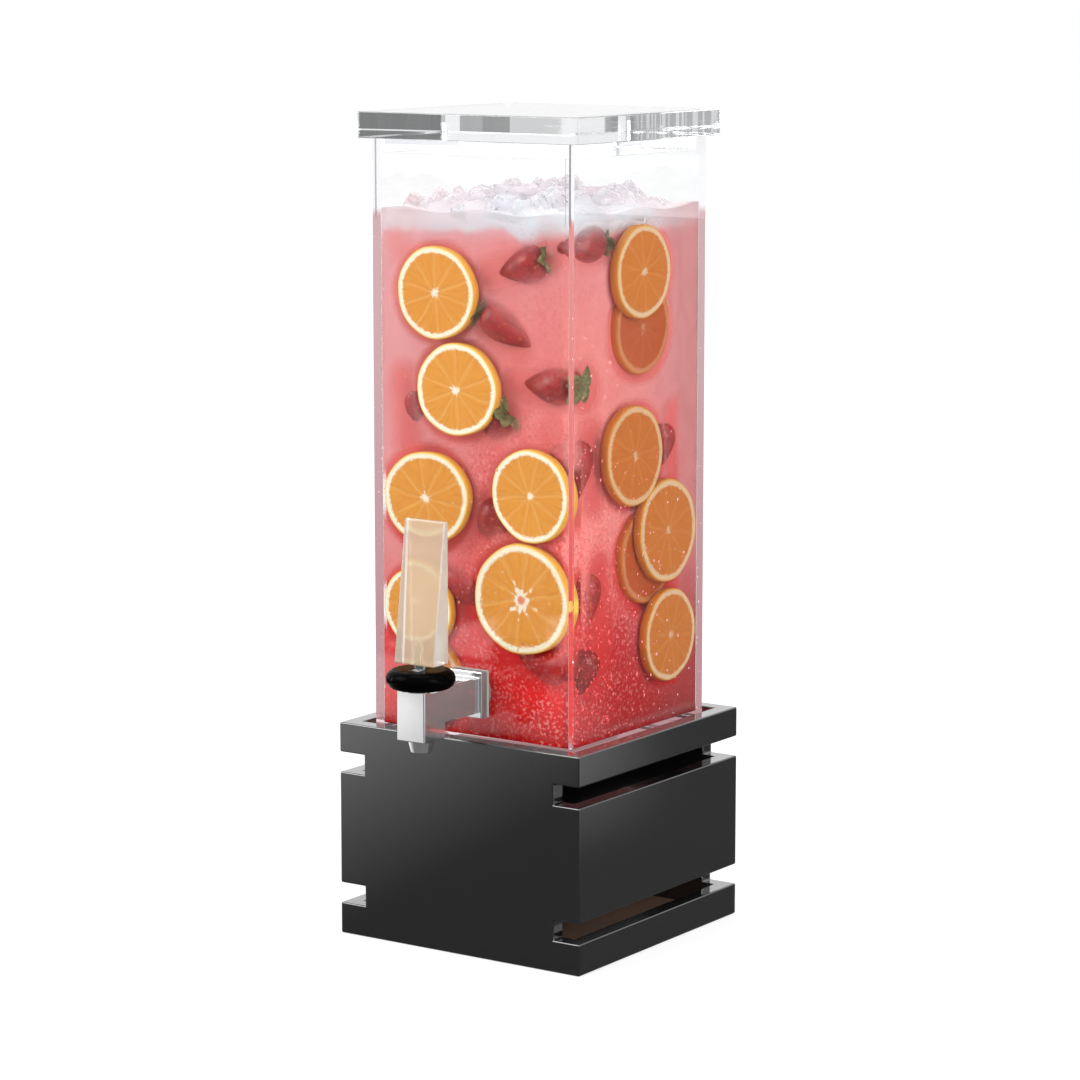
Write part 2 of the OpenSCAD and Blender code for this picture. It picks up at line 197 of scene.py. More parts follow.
def weigh_normals(piece):
    """Smooth shading in which the large faces keep their own direction, with real corners left sharp."""
    piece.data.polygons.foreach_set("use_smooth", np.ones(len(piece.data.polygons), bool))
    piece.data.set_sharp_from_angle(angle=math.radians(50))
    weighted = piece.modifiers.new("weighted_normals", "WEIGHTED_NORMAL")
    weighted.weight = 100
    weighted.keep_sharp = True
    apply_modifiers(piece)


def corners_of(name):
    """Every separate coordinate that a solid's corners use along X, Y and Z."""
    mesh = nodes[name].data
    points = np.empty(len(mesh.vertices) * 3, np.float32)
    mesh.vertices.foreach_get("co", points)
    return [np.unique(np.round(row.astype(float), 5)) for row in points.reshape(-1, 3).T]


def face_values(piece, name, width=1):
    """One row per face of a property such as its area or its normal."""
    values = np.empty(len(piece.data.polygons) * width, np.float32)
    piece.data.polygons.foreach_get(name, values)
    return values.reshape(-1, width) if width > 1 else values


def store_uv(piece, name, values):
    """A UV map from one pair of numbers per point, 0.5 plus half of each."""
    corner = np.empty(len(piece.data.loops), np.int32)
    piece.data.loops.foreach_get("vertex_index", corner)
    layer = piece.data.uv_layers.new(name=name)
    layer.data.foreach_set("uv", (0.5 + 0.5 * values[corner]).astype(np.float32).ravel())


def store_values(piece, name, values):
    """A number for every point, kept under a name that the finish can read."""
    layer = piece.data.attributes.new(name, "FLOAT", "POINT")
    layer.data.foreach_set("value", np.asarray(values, np.float32))


print("panel corners along Z:", corners_of("base_front_panel")[2])


# %% [markdown]
# ## Finishes
# Each finish is one Principled shader. A node's output is wrapped as a value, so that a formula such as
# (a - b) * 0.5 makes its own Math nodes. A step takes a value, often a place in metres, to a share from
# 0 to 1.

# %% Colours and values
BLACK = (0, 0, 0, 1)
WHITE = (1, 1, 1, 1)


def srgb(red, green, blue):
    """Linear colour from 0 to 255: ((c/255 + 0.055) / 1.055) to the power 2.4, or c/255/12.92 when dark."""
    c = np.array([red, green, blue]) / 255
    linear = np.where(c <= 0.04045, c / 12.92, ((c + 0.055) / 1.055) ** 2.4)
    return (*linear.tolist(), 1.0)


class Value:
    """The output of a node. Sums and products of values make Math nodes."""

    def __init__(self, owner, socket):
        self.owner = owner
        self.socket = socket

    def __add__(self, other):
        return self.owner.maths("ADD", self, other)

    def __sub__(self, other):
        return self.owner.maths("SUBTRACT", self, other)

    def __rsub__(self, other):
        return self.owner.maths("SUBTRACT", other, self)

    def __mul__(self, other):
        return self.owner.maths("MULTIPLY", self, other)

    def __pow__(self, other):
        return self.owner.maths("POWER", self, other)

    def __abs__(self):
        return self.owner.maths("ABSOLUTE", self)

    def or_more(self, other):
        """The larger of two values."""
        return self.owner.maths("MAXIMUM", self, other)

    def share(self, low, high, curve="LINEAR"):
        """0 at low, 1 at high, and a straight line between them."""
        values = {"Value": self, "From Min": low, "From Max": high}
        return self.owner.value("MapRange", "Result", values, interpolation_type=curve)

    def step(self, low, high):
        """0 at low, 1 at high, and a smooth curve between them, whichever of the two is larger."""
        return self.share(low, high, "SMOOTHSTEP")


print("black sheet in linear colour:", [round(c, 4) for c in srgb(25, 25, 26)])


# %% [markdown]
# ## Node trees
# A tree makes nodes of a kind, sets or links their sockets and hands their outputs on as values. Colours
# are laid over each other, each by its own share, and the Light Path node tells rays apart.

# %% Node trees
class Tree:
    """An empty node tree, with short ways to make its nodes."""

    def __init__(self, tree):
        self.tree = tree
        tree.nodes.clear()

    def set(self, socket, value):
        """Links a value to a socket, or sets the socket to a plain number or colour."""
        if isinstance(value, Value):
            self.tree.links.new(value.socket, socket)
        else:
            socket.default_value = value

    def add(self, kind, values=None, **settings):
        """A node with its settings made, and its sockets set or linked."""
        node = self.tree.nodes.new("ShaderNode" + kind)
        for name, value in settings.items():
            setattr(node, name, value)
        for socket, value in (values or {}).items():
            self.set(node.inputs[socket], value)
        return node

    def value(self, kind, output, values=None, **settings):
        """One output of a new node."""
        return Value(self, self.add(kind, values, **settings).outputs[output])

    def maths(self, operation, *values):
        """The result of a Math node."""
        return self.value("Math", 0, dict(enumerate(values)), operation=operation)

    def blend(self, share, first, second, mode="MIX"):
        """A colour between two others, by a share: a Mix node's sockets 0, 6 and 7."""
        return self.value("Mix", 2, {0: share, 6: first, 7: second}, data_type="RGBA", blend_type=mode)

    def layers(self, colour, *layers):
        """A colour with others laid over it in turn, each by its own share."""
        for share, over in layers:
            colour = self.blend(share, colour, over)
        return colour

    def ramp(self, value, stops, curve):
        """The colour of a ramp whose stops are pairs of a position and a colour."""
        node = self.add("ValToRGB", {0: value})
        node.color_ramp.interpolation = curve
        while len(node.color_ramp.elements) < len(stops):
            node.color_ramp.elements.new(0.5)
        for element, (position, colour) in zip(node.color_ramp.elements, stops):
            element.position = position
            element.color = colour
        return Value(self, node.outputs["Color"])

    def place(self):
        """A piece's own coordinates, in metres."""
        return self.value("TexCoord", "Object")

    def axes(self, place=None):
        """The X, Y and Z of a place, or of the piece's own coordinates."""
        node = self.add("SeparateXYZ", {0: place or self.place()})
        return [Value(self, node.outputs[name]) for name in "XYZ"]

    def noise(self, scale, detail=2.0, place=None, **values):
        """Soft random values, with so many grains to a metre."""
        values = {"Vector": place or self.place(), "Scale": scale, "Detail": detail, **values}
        return self.value("TexNoise", "Fac", values)

    def stored(self, name):
        """A number that store_values kept for every point."""
        return self.value("Attribute", "Fac", attribute_name=name)

    def ray(self, name):
        """What the Light Path node says of the ray that meets the surface."""
        return self.value("LightPath", name)

    def mirrored(self):
        """1 for a ray that has been reflected, as by chrome or gloss, and 0 for other rays."""
        return self.maths("GREATER_THAN", self.ray("Glossy Depth"), 0.5)

    def reflected_or_bent(self):
        """1 for glossy and transmission rays, and 0 for other rays."""
        return self.ray("Is Glossy Ray").or_more(self.ray("Is Transmission Ray"))

    def seen_directly(self):
        """1 for camera, glossy and transmission rays, and 0 for the rays that carry light about."""
        return self.ray("Is Camera Ray").or_more(self.reflected_or_bent())


print("ways to make nodes:", len([name for name in vars(Tree) if not name.startswith("_")]))


# %% [markdown]
# ## Shared effects
# Two effects are node groups: fine handling marks that vary the roughness of polished surfaces, and a
# soft cloud that makes the drink and the ice uneven.

# %% Handling marks and clouds
def new_group(name, inputs, outputs):
    """An empty shader group with named float inputs (name: default) and float outputs."""
    group = bpy.data.node_groups.new(name, "ShaderNodeTree")
    tree = Tree(group)
    for socket, value in inputs.items():
        made = group.interface.new_socket(socket, in_out="INPUT", socket_type="NodeSocketFloat")
        made.default_value = value
    for socket in outputs:
        group.interface.new_socket(socket, in_out="OUTPUT", socket_type="NodeSocketFloat")
    start = group.nodes.new("NodeGroupInput")
    given = {name: Value(tree, start.outputs[name]) for name in inputs}
    return tree, given, group.nodes.new("NodeGroupOutput")


handling, given, end = new_group(
    "handling_marks", {"Roughness": 0.2, "Spread": 0.05, "Scale": 60.0}, ["Roughness", "Height"])
broad = handling.noise(given["Scale"], 4.0, Roughness=0.6)
varied = (broad - 0.5) * given["Spread"] + given["Roughness"]
handling.set(end.inputs["Roughness"], varied.or_more(0.0))
handling.set(end.inputs["Height"], handling.noise(given["Scale"] * 9.0))

clouding, given, end = new_group("soft_cloud", {"Scale": 20.0, "Stretch": 1.0}, ["Cloud"])
stretch = clouding.value("CombineXYZ", 0, {"X": 1.0, "Y": 1.0, "Z": given["Stretch"]})
squeezed = clouding.value("VectorMath", 0, {0: clouding.place(), 1: stretch}, operation="MULTIPLY")
puffs = clouding.noise(given["Scale"], 3.0, squeezed, Roughness=0.45, Distortion=0.6)
clouding.set(end.inputs["Cloud"], puffs.step(0.3, 0.7))
print("groups:", [g.name for g in bpy.data.node_groups])


# %% [markdown]
# ## Polished and clear surfaces
# A clear piece needs three things. Lamps shine straight through it, because their shadow rays meet a
# Transparent shader. Light that runs a long way inside it comes out darker. And a ray that bounces many
# times inside a sheet meets a painted glow, an emission that stands in for the light the sheet pipes along,
# as the bright edges of acrylic do.

# %% Finishes
ACRYLIC_INDEX = 1.49
WATER_INDEX = 1.33
ICE_INDEX = 1.31


class Finish(Tree):
    """A material with one Principled shader, whose plain sockets are set by name."""

    def __init__(self, name, values):
        self.material = bpy.data.materials.new(name)
        self.material.use_nodes = True
        super().__init__(self.material.node_tree)
        self.shader = self.add("BsdfPrincipled", values)
        self.surface = Value(self, self.shader.outputs[0])
        self.output = self.add("OutputMaterial", {"Surface": self.surface})

    def feed(self, socket, value):
        """Sets or links one of the shader's sockets."""
        self.set(self.shader.inputs[socket], value)

    def cloud(self, scale, stretch=1.0):
        """Soft clouds from 0 to 1, so many to a metre, and drawn out upwards when stretch is below 1."""
        return self.value("Group", "Cloud", {"Scale": scale, "Stretch": stretch}, node_tree=clouding.tree)

    def raise_surface(self, height, strength, distance):
        """Relief, from a height of 0 to 1."""
        values = {"Height": height, "Strength": strength, "Distance": distance}
        self.feed("Normal", self.value("Bump", 0, values))

    def let_lamps_through(self, tint):
        """Shadow and diffuse rays meet a Transparent shader, so that lamps light what is behind the piece."""
        either = self.ray("Is Shadow Ray").or_more(self.ray("Is Diffuse Ray"))
        clear = self.value("BsdfTransparent", 0, {"Color": tint})
        both = self.value("MixShader", 0, {0: either, 1: self.surface, 2: clear})
        self.set(self.output.inputs["Surface"], both)

    def absorb(self, colour, density):
        """Light that runs a long way inside a clear piece, as along its edges, comes out darker."""
        depth = self.value("VolumeAbsorption", 0, {"Color": colour, "Density": density})
        self.set(self.output.inputs["Volume"], depth)

    def paint_piped_glow(self, colour, bounces):
        """Painted glow: a ray that has bounced along inside a wall meets an emission for the light the wall
        pipes from its far end.
        """
        trapped = self.maths("GREATER_THAN", self.ray("Ray Depth"), bounces + 0.5)
        self.feed("Emission Color", self.blend(trapped, BLACK, colour))
        self.feed("Emission Strength", 1.0)


def polished(name, values, roughness, spread, scale, relief=0.0):
    """A hard finish whose roughness, and relief if any, come from the handling marks."""
    finish = Finish(name, values)
    marks = finish.add("Group", {"Roughness": roughness, "Spread": spread, "Scale": scale},
                       node_tree=handling.tree)
    finish.feed("Roughness", Value(finish, marks.outputs["Roughness"]))
    if relief:
        finish.raise_surface(Value(finish, marks.outputs["Height"]), relief, 0.0002)
    return finish


def clear_finish(name, values, tint):
    """A polished see-through finish that lets the lamps through."""
    finish = polished(name, values, 0.0, 0.02, 30.0)
    finish.let_lamps_through(tint)
    return finish


print("refractive indices:", ACRYLIC_INDEX, WATER_INDEX, ICE_INDEX)


# %% [markdown]
# ## Hard finishes
# The base is gloss black acrylic on a plain board, the tap is chrome with a black bonnet, and the pins
# are turned steel. Polished parts show their shape through reflections, so each has a plain colour and
# uneven gloss. Solids that need no new shape get their finish here.

# %% Base black, chrome, black moulding, steel, silicone, white moulding and board
base_black = polished("base_black", {"Base Color": srgb(25, 25, 26), "Specular IOR Level": 0.9,
                      "Coat Weight": 1.0, "Coat Roughness": 0.06, "Coat IOR": 1.5},
                      0.14, 0.04, 25.0).material
bright_chrome = polished("bright_chrome", {"Base Color": srgb(250, 250, 251), "Metallic": 0.94},
                         0.1, 0.05, 120.0).material
bonnet_black = polished("bonnet_black", {"Base Color": srgb(3, 3, 3), "Specular IOR Level": 0.015},
                        0.16, 0.05, 150.0).material
turned_steel = polished("turned_steel", {"Base Color": srgb(196, 198, 202), "Metallic": 1.0},
                        0.24, 0.12, 300.0, 0.05).material
silicone_grey = polished("silicone_grey", {"Base Color": srgb(168, 178, 170)}, 0.55, 0.1, 200.0, 0.1).material
guide_white = polished("guide_white", {"Base Color": srgb(232, 232, 228)}, 0.45, 0.1, 200.0, 0.05).material
base_board = polished("base_board", {"Base Color": srgb(140, 122, 104)}, 0.7, 0.15, 90.0, 0.2).material

finishes = {
    base_board: ["base_bottom_plate"],
    base_black: ["front_ledge", "back_ledge", "left_ledge", "right_ledge"],
    silicone_grey: ["tap_gasket", "inner_washer"],
    bright_chrome: ["tap_shank", "shank_nut", "spout_tip"],
    bonnet_black: ["bonnet_ring"],
    guide_white: ["stem_guide"],
    turned_steel: ["pivot_pin", "handle_lever", "stem_pin", "valve_stem"],
}
for material, names in finishes.items():
    for name in names:
        nodes[name].data.materials.clear()
        nodes[name].data.materials.append(material)
print("solids that keep their own mesh:", sum(len(names) for names in finishes.values()))


# %% [markdown]
# ## Clear finishes
# Acrylic bends light like glass. Below the drink's level the container's sheets have a painted glow in the
# drink's colour, an emission for the light they pipe, reddest at the front right corner, and above it the
# glow is pale grey. Glue lines darken the front sheet's upright joints above the drink. The lid has saw
# marks on its right edge and a grey painted glow.

# %% Clear acrylic for the container, the lid and the drops
DRINK_TOP = 0.505
wall_low, wall_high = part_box("container_front_wall")
floor_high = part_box("container_floor")[1]
outer, inner = wall_high.x, floor_high.x
floor_top, mouth = floor_high.z, wall_high.z
ACRYLIC_TINT = (0.985, 0.992, 0.992, 1)
LAMP_TINT = (0.97, 0.98, 0.98, 1)
EDGE_TINT = (0.80, 0.82, 0.84, 1)
acrylic = {"Base Color": ACRYLIC_TINT, "Transmission Weight": 1.0, "IOR": ACRYLIC_INDEX}

finish = clear_finish("clear_acrylic", acrylic, LAMP_TINT)
clear_acrylic = finish.material
finish.absorb(EDGE_TINT, 1.5)
x, y, z = finish.axes()
rise = z.step(0.16, 0.48)
# Painted glow colours: red below the drink, reddest towards the front right corner, and pale grey above it.
glow_red = finish.blend(rise, (0.3, 0.022, 0.022, 1), (0.285, 0.108, 0.104, 1))
glow_mauve = finish.blend(rise, (0.19, 0.105, 0.11, 1), (0.235, 0.155, 0.16, 1))
glow_by_drink = finish.blend((x - y).step(0.03, 0.08), glow_mauve, glow_red)
in_drink = z.step(DRINK_TOP - 2 * MM, DRINK_TOP - 9 * MM)
finish.paint_piped_glow(finish.blend(in_drink, (0.33, 0.325, 0.335, 1), glow_by_drink), 3)

# Place across the front in mm, half width in mm, and darkness of each glue line
glue_lines = [(-78.8, 0.9, 0.8), (79.7, 0.9, 1.0), (76.2, 0.6, 0.5)]
left_line, right_line, inner_line = [
    abs(x - place * MM).step(half * MM, half * MM / 2) * dark for place, half, dark in glue_lines]
on_front = y.step(-outer + 0.8 * MM, -outer + 0.3 * MM)
glued = left_line.or_more(right_line).or_more(inner_line) * on_front * (1.0 - in_drink)
finish.feed("Base Color", finish.blend(glued, ACRYLIC_TINT, (0.05, 0.05, 0.055, 1)))

finish = clear_finish("lid_acrylic", acrylic, LAMP_TINT)
lid_acrylic = finish.material
finish.absorb(EDGE_TINT, 2.2)
along_edge = finish.value("Mapping", 0, {"Vector": finish.place(), "Scale": (30, 30, 700)})
sawn_side = finish.axes()[0].step(0.070, 0.0745)
finish.raise_surface(finish.noise(1.0, 2.0, along_edge) * sawn_side, 0.3, 0.00008)
# Painted glow: a grey emission for rays that bounce inside the lid.
finish.paint_piped_glow((0.2, 0.2, 0.205, 1), 4)

clear_water = clear_finish("clear_water", {"Base Color": (0.98, 0.98, 0.98, 1), "Transmission Weight": 1.0,
                           "IOR": WATER_INDEX}, (0.97, 0.97, 0.97, 1)).material
print("clear finishes:", clear_acrylic.name, lid_acrylic.name, clear_water.name)


# %% [markdown]
# ## The base
# The real base is bonded so well that it looks like one block with slots cut round its corners. The
# panels and strips are therefore shown as one skin of cells, taken from the solids' own corners, with
# a rounded edge of about a millimetre.

# %% Base shell
panel_x, panel_y, panel_z = corners_of("base_front_panel")
back_y = corners_of("base_back_panel")[1]
strip_x = corners_of("right_top_strip")[0]
base_x = np.unique(np.concatenate([panel_x, strip_x, -strip_x]).round(5))
base_y = np.concatenate([panel_y, back_y])
middles = [(edges[1:] + edges[:-1]) / 2 for edges in (base_x, base_y, panel_z)]
cx, cy, cz = np.meshgrid(*middles, indexing="ij")
in_panel = (cy < panel_y[1]) | (cy > back_y[0])
in_strip = np.abs(cx) > strip_x[0]
slot_rows = [(panel_z[1], panel_z[2]), (panel_z[3], panel_z[4])]
in_slot = np.any([(cz > low) & (cz < high) for low, high in slot_rows], axis=0)
notch_x = panel_x[2]
filled = (in_panel | in_strip) & ~(in_slot & (np.abs(cx) > notch_x))
base_shell = new_piece("base_shell", *cell_skin(base_x, base_y, panel_z, filled), base_black)
merge_flat_faces(base_shell)
soften_edges(base_shell, 1.2 * MM)
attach(base_shell, "base")
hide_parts("base_front_panel", "base_back_panel", "left_top_strip", "left_middle_strip",
            "left_bottom_strip", "right_top_strip", "right_middle_strip", "right_bottom_strip")
print("base shell faces:", len(base_shell.data.polygons))


# %% [markdown]
# ## The container
# Five bonded sheets read as one clear box. As separate solids their touching faces would show as
# mirrors inside the acrylic, so the box is one skin with an outer and an inner wall, drilled for the
# tap's shank.

# %% Container shell
shank_low, shank_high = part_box("tap_shank")
shank_z = (shank_low.z + shank_high.z) / 2
HOLE_GAP = 0.25 * MM
DRILL_OVER = 0.01
walls = np.array([-outer, -inner, inner, outer])
filled = np.ones((3, 3, 2), bool)
filled[1, 1, 1] = False
container_shell = new_piece("container_shell",
                            *cell_skin(walls, walls, [wall_low.z, floor_top, mouth], filled), clear_acrylic)
merge_flat_faces(container_shell)
soften_edges(container_shell, 0.5 * MM, 2, harden=False)
apply_modifiers(container_shell)
hole = rod((0, -outer - DRILL_OVER, shank_z), (0, -inner + DRILL_OVER, shank_z), shank_high.x + HOLE_GAP)
combine(container_shell, hole, "DIFFERENCE")
weigh_normals(container_shell)
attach(container_shell, "container")
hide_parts("container_front_wall", "container_back_wall", "container_left_wall",
            "container_right_wall", "container_floor")
print("container inside:", round(2 * inner, 4), "wide,", round(mouth - floor_top, 4), "deep")


# %% [markdown]
# ## The lid
# A thick plate with round upright corners is bonded to a smaller plug that drops into the container.
# Each is a shell of two rounded squares. A hair of air between them, as at a real glue line, makes the
# plate's underside a mirror, so its edges show the room in separate bands.

# %% Lid shell
plate_low, plate_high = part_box("lid_plate")
plug_low, plug_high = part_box("lid_plug")
PLATE_CORNER = 6 * MM
PLUG_CORNER = 1.5 * MM
GLUE_LINE = 0.05 * MM


def lid_sheet(name, half, corner, low_z, high_z):
    """A closed plate: one rounded square at its underside and one at its top."""
    outline = rounded_square(half, half, corner, 9)
    rings = np.stack([np.column_stack([outline, np.full(len(outline), z)]) for z in (low_z, high_z)])
    sheet = new_piece(name, *capped_stack(rings), lid_acrylic)
    soften_edges(sheet, 0.7 * MM, 2)
    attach(sheet, "lid")
    return sheet


plate_sheet = lid_sheet("lid_plate_sheet", plate_high.x, PLATE_CORNER, plate_low.z + GLUE_LINE, plate_high.z)
plug_sheet = lid_sheet("lid_plug_sheet", plug_high.x, PLUG_CORNER, plug_low.z, plug_high.z - GLUE_LINE)
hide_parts("lid_plate")
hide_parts("lid_plug")
print("lid plate:", round(2 * plate_high.x, 4), "square,", round(plate_high.z - plate_low.z, 4), "thick")


# %% [markdown]
# ## The tap's metal
# The block and its arm are one casting with sharp but not cutting edges. Its outside is a skin of
# cells with a rounded edge, the neck is added, and the drink's way through it is bored out. The flange
# plate is a flat box, bored for the shank.

# %% Tap casting and flange plate
body_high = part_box("tap_body")[1]
flange_low, flange_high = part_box("tap_flange")
cup_low, cup_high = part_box("seat_cup")
spout_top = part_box("spout_tip")[1].z
block_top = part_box("bonnet_ring")[0].z
BLOCK_INSET = 2.5 * MM
BLOCK_FRONT, BLOCK_BACK = -152.5 * MM, -128.5 * MM
CHAMBER_RADIUS = 9 * MM
OUTLET_RADIUS = 4.75 * MM
PASSAGE_RADIUS = 4.5 * MM
SOCKET_DEPTH = 12 * MM
FIT = 0.05 * MM
OVER = 1 * MM
block_half = flange_high.x - BLOCK_INSET
axis_y = (BLOCK_FRONT + BLOCK_BACK) / 2
arm_low = 2 * shank_z - block_top
shank_radius = shank_high.x + FIT


def upright_rod(low, high, radius):
    """A rod on the tap's upright axis."""
    return rod((0, axis_y, low), (0, axis_y, high), radius)


def level_rod(front, back, radius):
    """A rod on the shank's level axis."""
    return rod((0, front, shank_z), (0, back, shank_z), radius)


def finish_casting(piece, node, bores):
    """Bores a softened piece out and puts it in the place of its solid."""
    for bore in bores:
        combine(piece, bore, "DIFFERENCE")
    weigh_normals(piece)
    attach(piece, "container")
    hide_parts(node)


block_and_arm = np.array([[[True, True], [False, True]]])
tap_casting = new_piece("tap_casting", *cell_skin(
    [-block_half, block_half], [BLOCK_FRONT, BLOCK_BACK, flange_low.y],
    [spout_top, arm_low, block_top], block_and_arm), bright_chrome)
merge_flat_faces(tap_casting)
soften_edges(tap_casting, 0.9 * MM, harden=False)
apply_modifiers(tap_casting)
combine(tap_casting, upright_rod(block_top - OVER, body_high.z, body_high.x), "UNION")
finish_casting(tap_casting, "tap_body", [
    upright_rod(cup_low.z, body_high.z + OVER, CHAMBER_RADIUS),
    upright_rod(spout_top - OVER, cup_low.z + OVER, OUTLET_RADIUS),
    upright_rod(cup_high.z - 2 * OVER, cup_high.z + OVER, cup_high.x + FIT),
    level_rod(axis_y, flange_low.y + OVER, PASSAGE_RADIUS),
    level_rod(flange_low.y - SOCKET_DEPTH, flange_low.y + OVER, shank_radius)])

tap_plate = new_piece("tap_plate", *cell_skin(
    [flange_low.x, flange_high.x], [flange_low.y, flange_high.y], [flange_low.z, flange_high.z],
    np.ones((1, 1, 1), bool)), bright_chrome)
soften_edges(tap_plate, 0.8 * MM, harden=False)
apply_modifiers(tap_plate)
finish_casting(tap_plate, "tap_flange", [level_rod(flange_low.y - OVER, flange_high.y + OVER, shank_radius)])
print("casting faces:", len(tap_casting.data.polygons), "plate faces:", len(tap_plate.data.polygons))


# %% [markdown]
# ## The handle
# A wedge of tinted acrylic with an upright back. The acrylic has a warm tint and is a little milky, so
# that it keeps its own colour in front of the drink. Its colour also holds painted light: a paler strip on
# the left for the back mirrored inside it, a painted highlight line beside that, and paler sides. One run
# of rings makes the shape: from the dome of the stud's hole, down the hole, out across the foot, round the
# edge, up the sloping sides and in across the tip.

# %% Handle
handle_low, handle_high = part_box("tap_handle")
lever_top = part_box("handle_lever")[1].z
HANDLE_AROUND = 48
STUD_RADIUS = 4.05 * MM
STUD_DOME = 4 * MM
TIP_DEPTH = 4 * MM
EDGE = 1.2 * MM
PAINTED_MIRROR = 6.5 * MM
PAINTED_MIRROR_SOFT = 0.3 * MM
BRIGHT_LINE = 1.2 * MM
SIDE_INNER, SIDE_OUTER = 15.2 * MM, 16 * MM
LARGE_FACE = 60 * MM * MM
foot_depth = handle_high.y - handle_low.y

finish = clear_finish(
    "tinted_acrylic", {"Transmission Weight": 0.56, "IOR": ACRYLIC_INDEX}, (0.9, 0.82, 0.7, 1))
tinted_acrylic = finish.material
x, _, z = finish.axes()
narrowing = z.share(handle_low.z, handle_high.z) * (TIP_DEPTH / foot_depth - 1) + 1.0
from_edge = x - (narrowing * PAINTED_MIRROR - handle_high.x)
# Painted light: a paler strip along the left stands for the back mirrored inside the block, a white line
# beside it is a painted highlight, and the sides are painted paler.
finish.feed("Base Color", finish.layers(
    srgb(224, 206, 178),
    (from_edge.step(PAINTED_MIRROR_SOFT, -PAINTED_MIRROR_SOFT) * 0.75, srgb(210, 202, 188)),
    (abs(from_edge - BRIGHT_LINE).step(BRIGHT_LINE, BRIGHT_LINE / 2), WHITE),
    (abs(x).step(SIDE_INNER, SIDE_OUTER), srgb(226, 224, 220))))


def handle_ring(z, inset):
    """A rounded rectangle at height z: the back is upright, and the depth falls evenly from foot to tip."""
    share = (z - handle_low.z) / (handle_high.z - handle_low.z)
    depth = foot_depth * (1 - share) + TIP_DEPTH * share
    outline = rounded_square(handle_high.x - inset, depth / 2 - inset, EDGE, HANDLE_AROUND // 4)
    centre_y = handle_high.y - depth / 2
    return np.column_stack([outline[:, 0], outline[:, 1] + centre_y, np.full(HANDLE_AROUND, z)])


def stud_ring(z, radius):
    """A circle round the stud's axis, with its points at the same bearings as the handle's outline."""
    a = bearings(HANDLE_AROUND) + np.pi / HANDLE_AROUND
    return np.column_stack([radius * np.cos(a), axis_y + radius * np.sin(a), np.full(HANDLE_AROUND, z)])


dome_z = lever_top - STUD_DOME
lift = np.radians([80, 65, 50, 35, 20, 0])
dome = [stud_ring(dome_z + STUD_RADIUS * math.sin(a), STUD_RADIUS * math.cos(a)) for a in lift]
foot = [stud_ring(handle_low.z, STUD_RADIUS), handle_ring(handle_low.z, EDGE)]
bend = [(EDGE * (1 - math.cos(a)), EDGE * (1 - math.sin(a))) for a in np.radians([22.5, 45, 67.5, 90])]
low_round = [handle_ring(handle_low.z + up, inset) for up, inset in bend]
top_round = [handle_ring(handle_high.z - down, inset) for down, inset in bend[::-1]]
handle_rings = np.stack(dome + foot + low_round + top_round + [handle_ring(handle_high.z, EDGE)])
clear_handle = new_piece("clear_handle", *capped_stack(handle_rings), tinted_acrylic)
flat = (face_values(clear_handle, "area") > LARGE_FACE) | (face_values(clear_handle, "loop_total") > 4)
clear_handle.data.polygons.foreach_set("use_smooth", ~flat)
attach(clear_handle, "handle")
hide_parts("tap_handle")
print("handle:", round(handle_high.z - handle_low.z, 4), "tall,", int(flat.sum()), "flat faces")


# %% [markdown]
# ## The valve's soft pieces
# Inside the tap, a silicone bell closes the outlet and a spring holds it down. Both shorten towards
# the stem guide when the handle opens the valve; here they keep the shape of their solids.

# %% Seat cup and return spring
spring_low, spring_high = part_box("return_spring")
CUP_WALL = 1.2 * MM
CUP_AROUND = 40
PLUG_RADIUS = 6.2 * MM
SKIRT_RADIUS = 8.6 * MM
STEM_HOLE = 2.35 * MM
rim_radius = cup_high.x
rim_z, plug_z, cup_floor = cup_high.z - 2 * MM, cup_low.z + 7 * MM, spring_low.z
cup_profile = [(0.4 * MM, cup_low.z), (PLUG_RADIUS - 1 * MM, cup_low.z), (PLUG_RADIUS, cup_low.z + 1 * MM),
               (PLUG_RADIUS, plug_z), (SKIRT_RADIUS, rim_z), (rim_radius, rim_z), (rim_radius, cup_high.z),
               (SKIRT_RADIUS - CUP_WALL, cup_high.z), (SKIRT_RADIUS - CUP_WALL, rim_z),
               (PLUG_RADIUS - CUP_WALL, plug_z), (PLUG_RADIUS - CUP_WALL, cup_floor), (STEM_HOLE, cup_floor)]
a = bearings(CUP_AROUND)
radii, heights = np.array(cup_profile).T
cup_rings = np.stack([radii[:, None] * np.cos(a), axis_y + radii[:, None] * np.sin(a),
                      np.repeat(heights[:, None], CUP_AROUND, axis=1)], axis=-1)
silicone_cup = new_piece("silicone_cup", *capped_stack(cup_rings), silicone_grey)

SPRING_TURNS = 7
TURN_STEPS = 24
WIRE_AROUND = 8
WIRE = 0.5 * MM
COIL = spring_high.x - WIRE
turn = np.linspace(0, SPRING_TURNS, SPRING_TURNS * TURN_STEPS + 1)[:, None]
side = np.linspace(0, 2 * np.pi, WIRE_AROUND, endpoint=False)[None, :]
reach = COIL + WIRE * np.cos(side)
wire_z = spring_low.z + WIRE + (spring_high.z - spring_low.z - 2 * WIRE) * turn / SPRING_TURNS
spring_rings = np.stack([reach * np.cos(2 * np.pi * turn), axis_y + reach * np.sin(2 * np.pi * turn),
                         wire_z + WIRE * np.sin(side)], axis=-1)
steel_spring = new_piece("steel_spring", *capped_stack(spring_rings), turned_steel)

soft_pieces = ((silicone_cup, "seat_cup", "silicone"), (steel_spring, "return_spring", "plain_steel"))
for piece, node, slot in soft_pieces:
    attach(piece, "container")
    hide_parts(node)
    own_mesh(piece)
print("spring points:", spring_rings.shape[0] * spring_rings.shape[1])
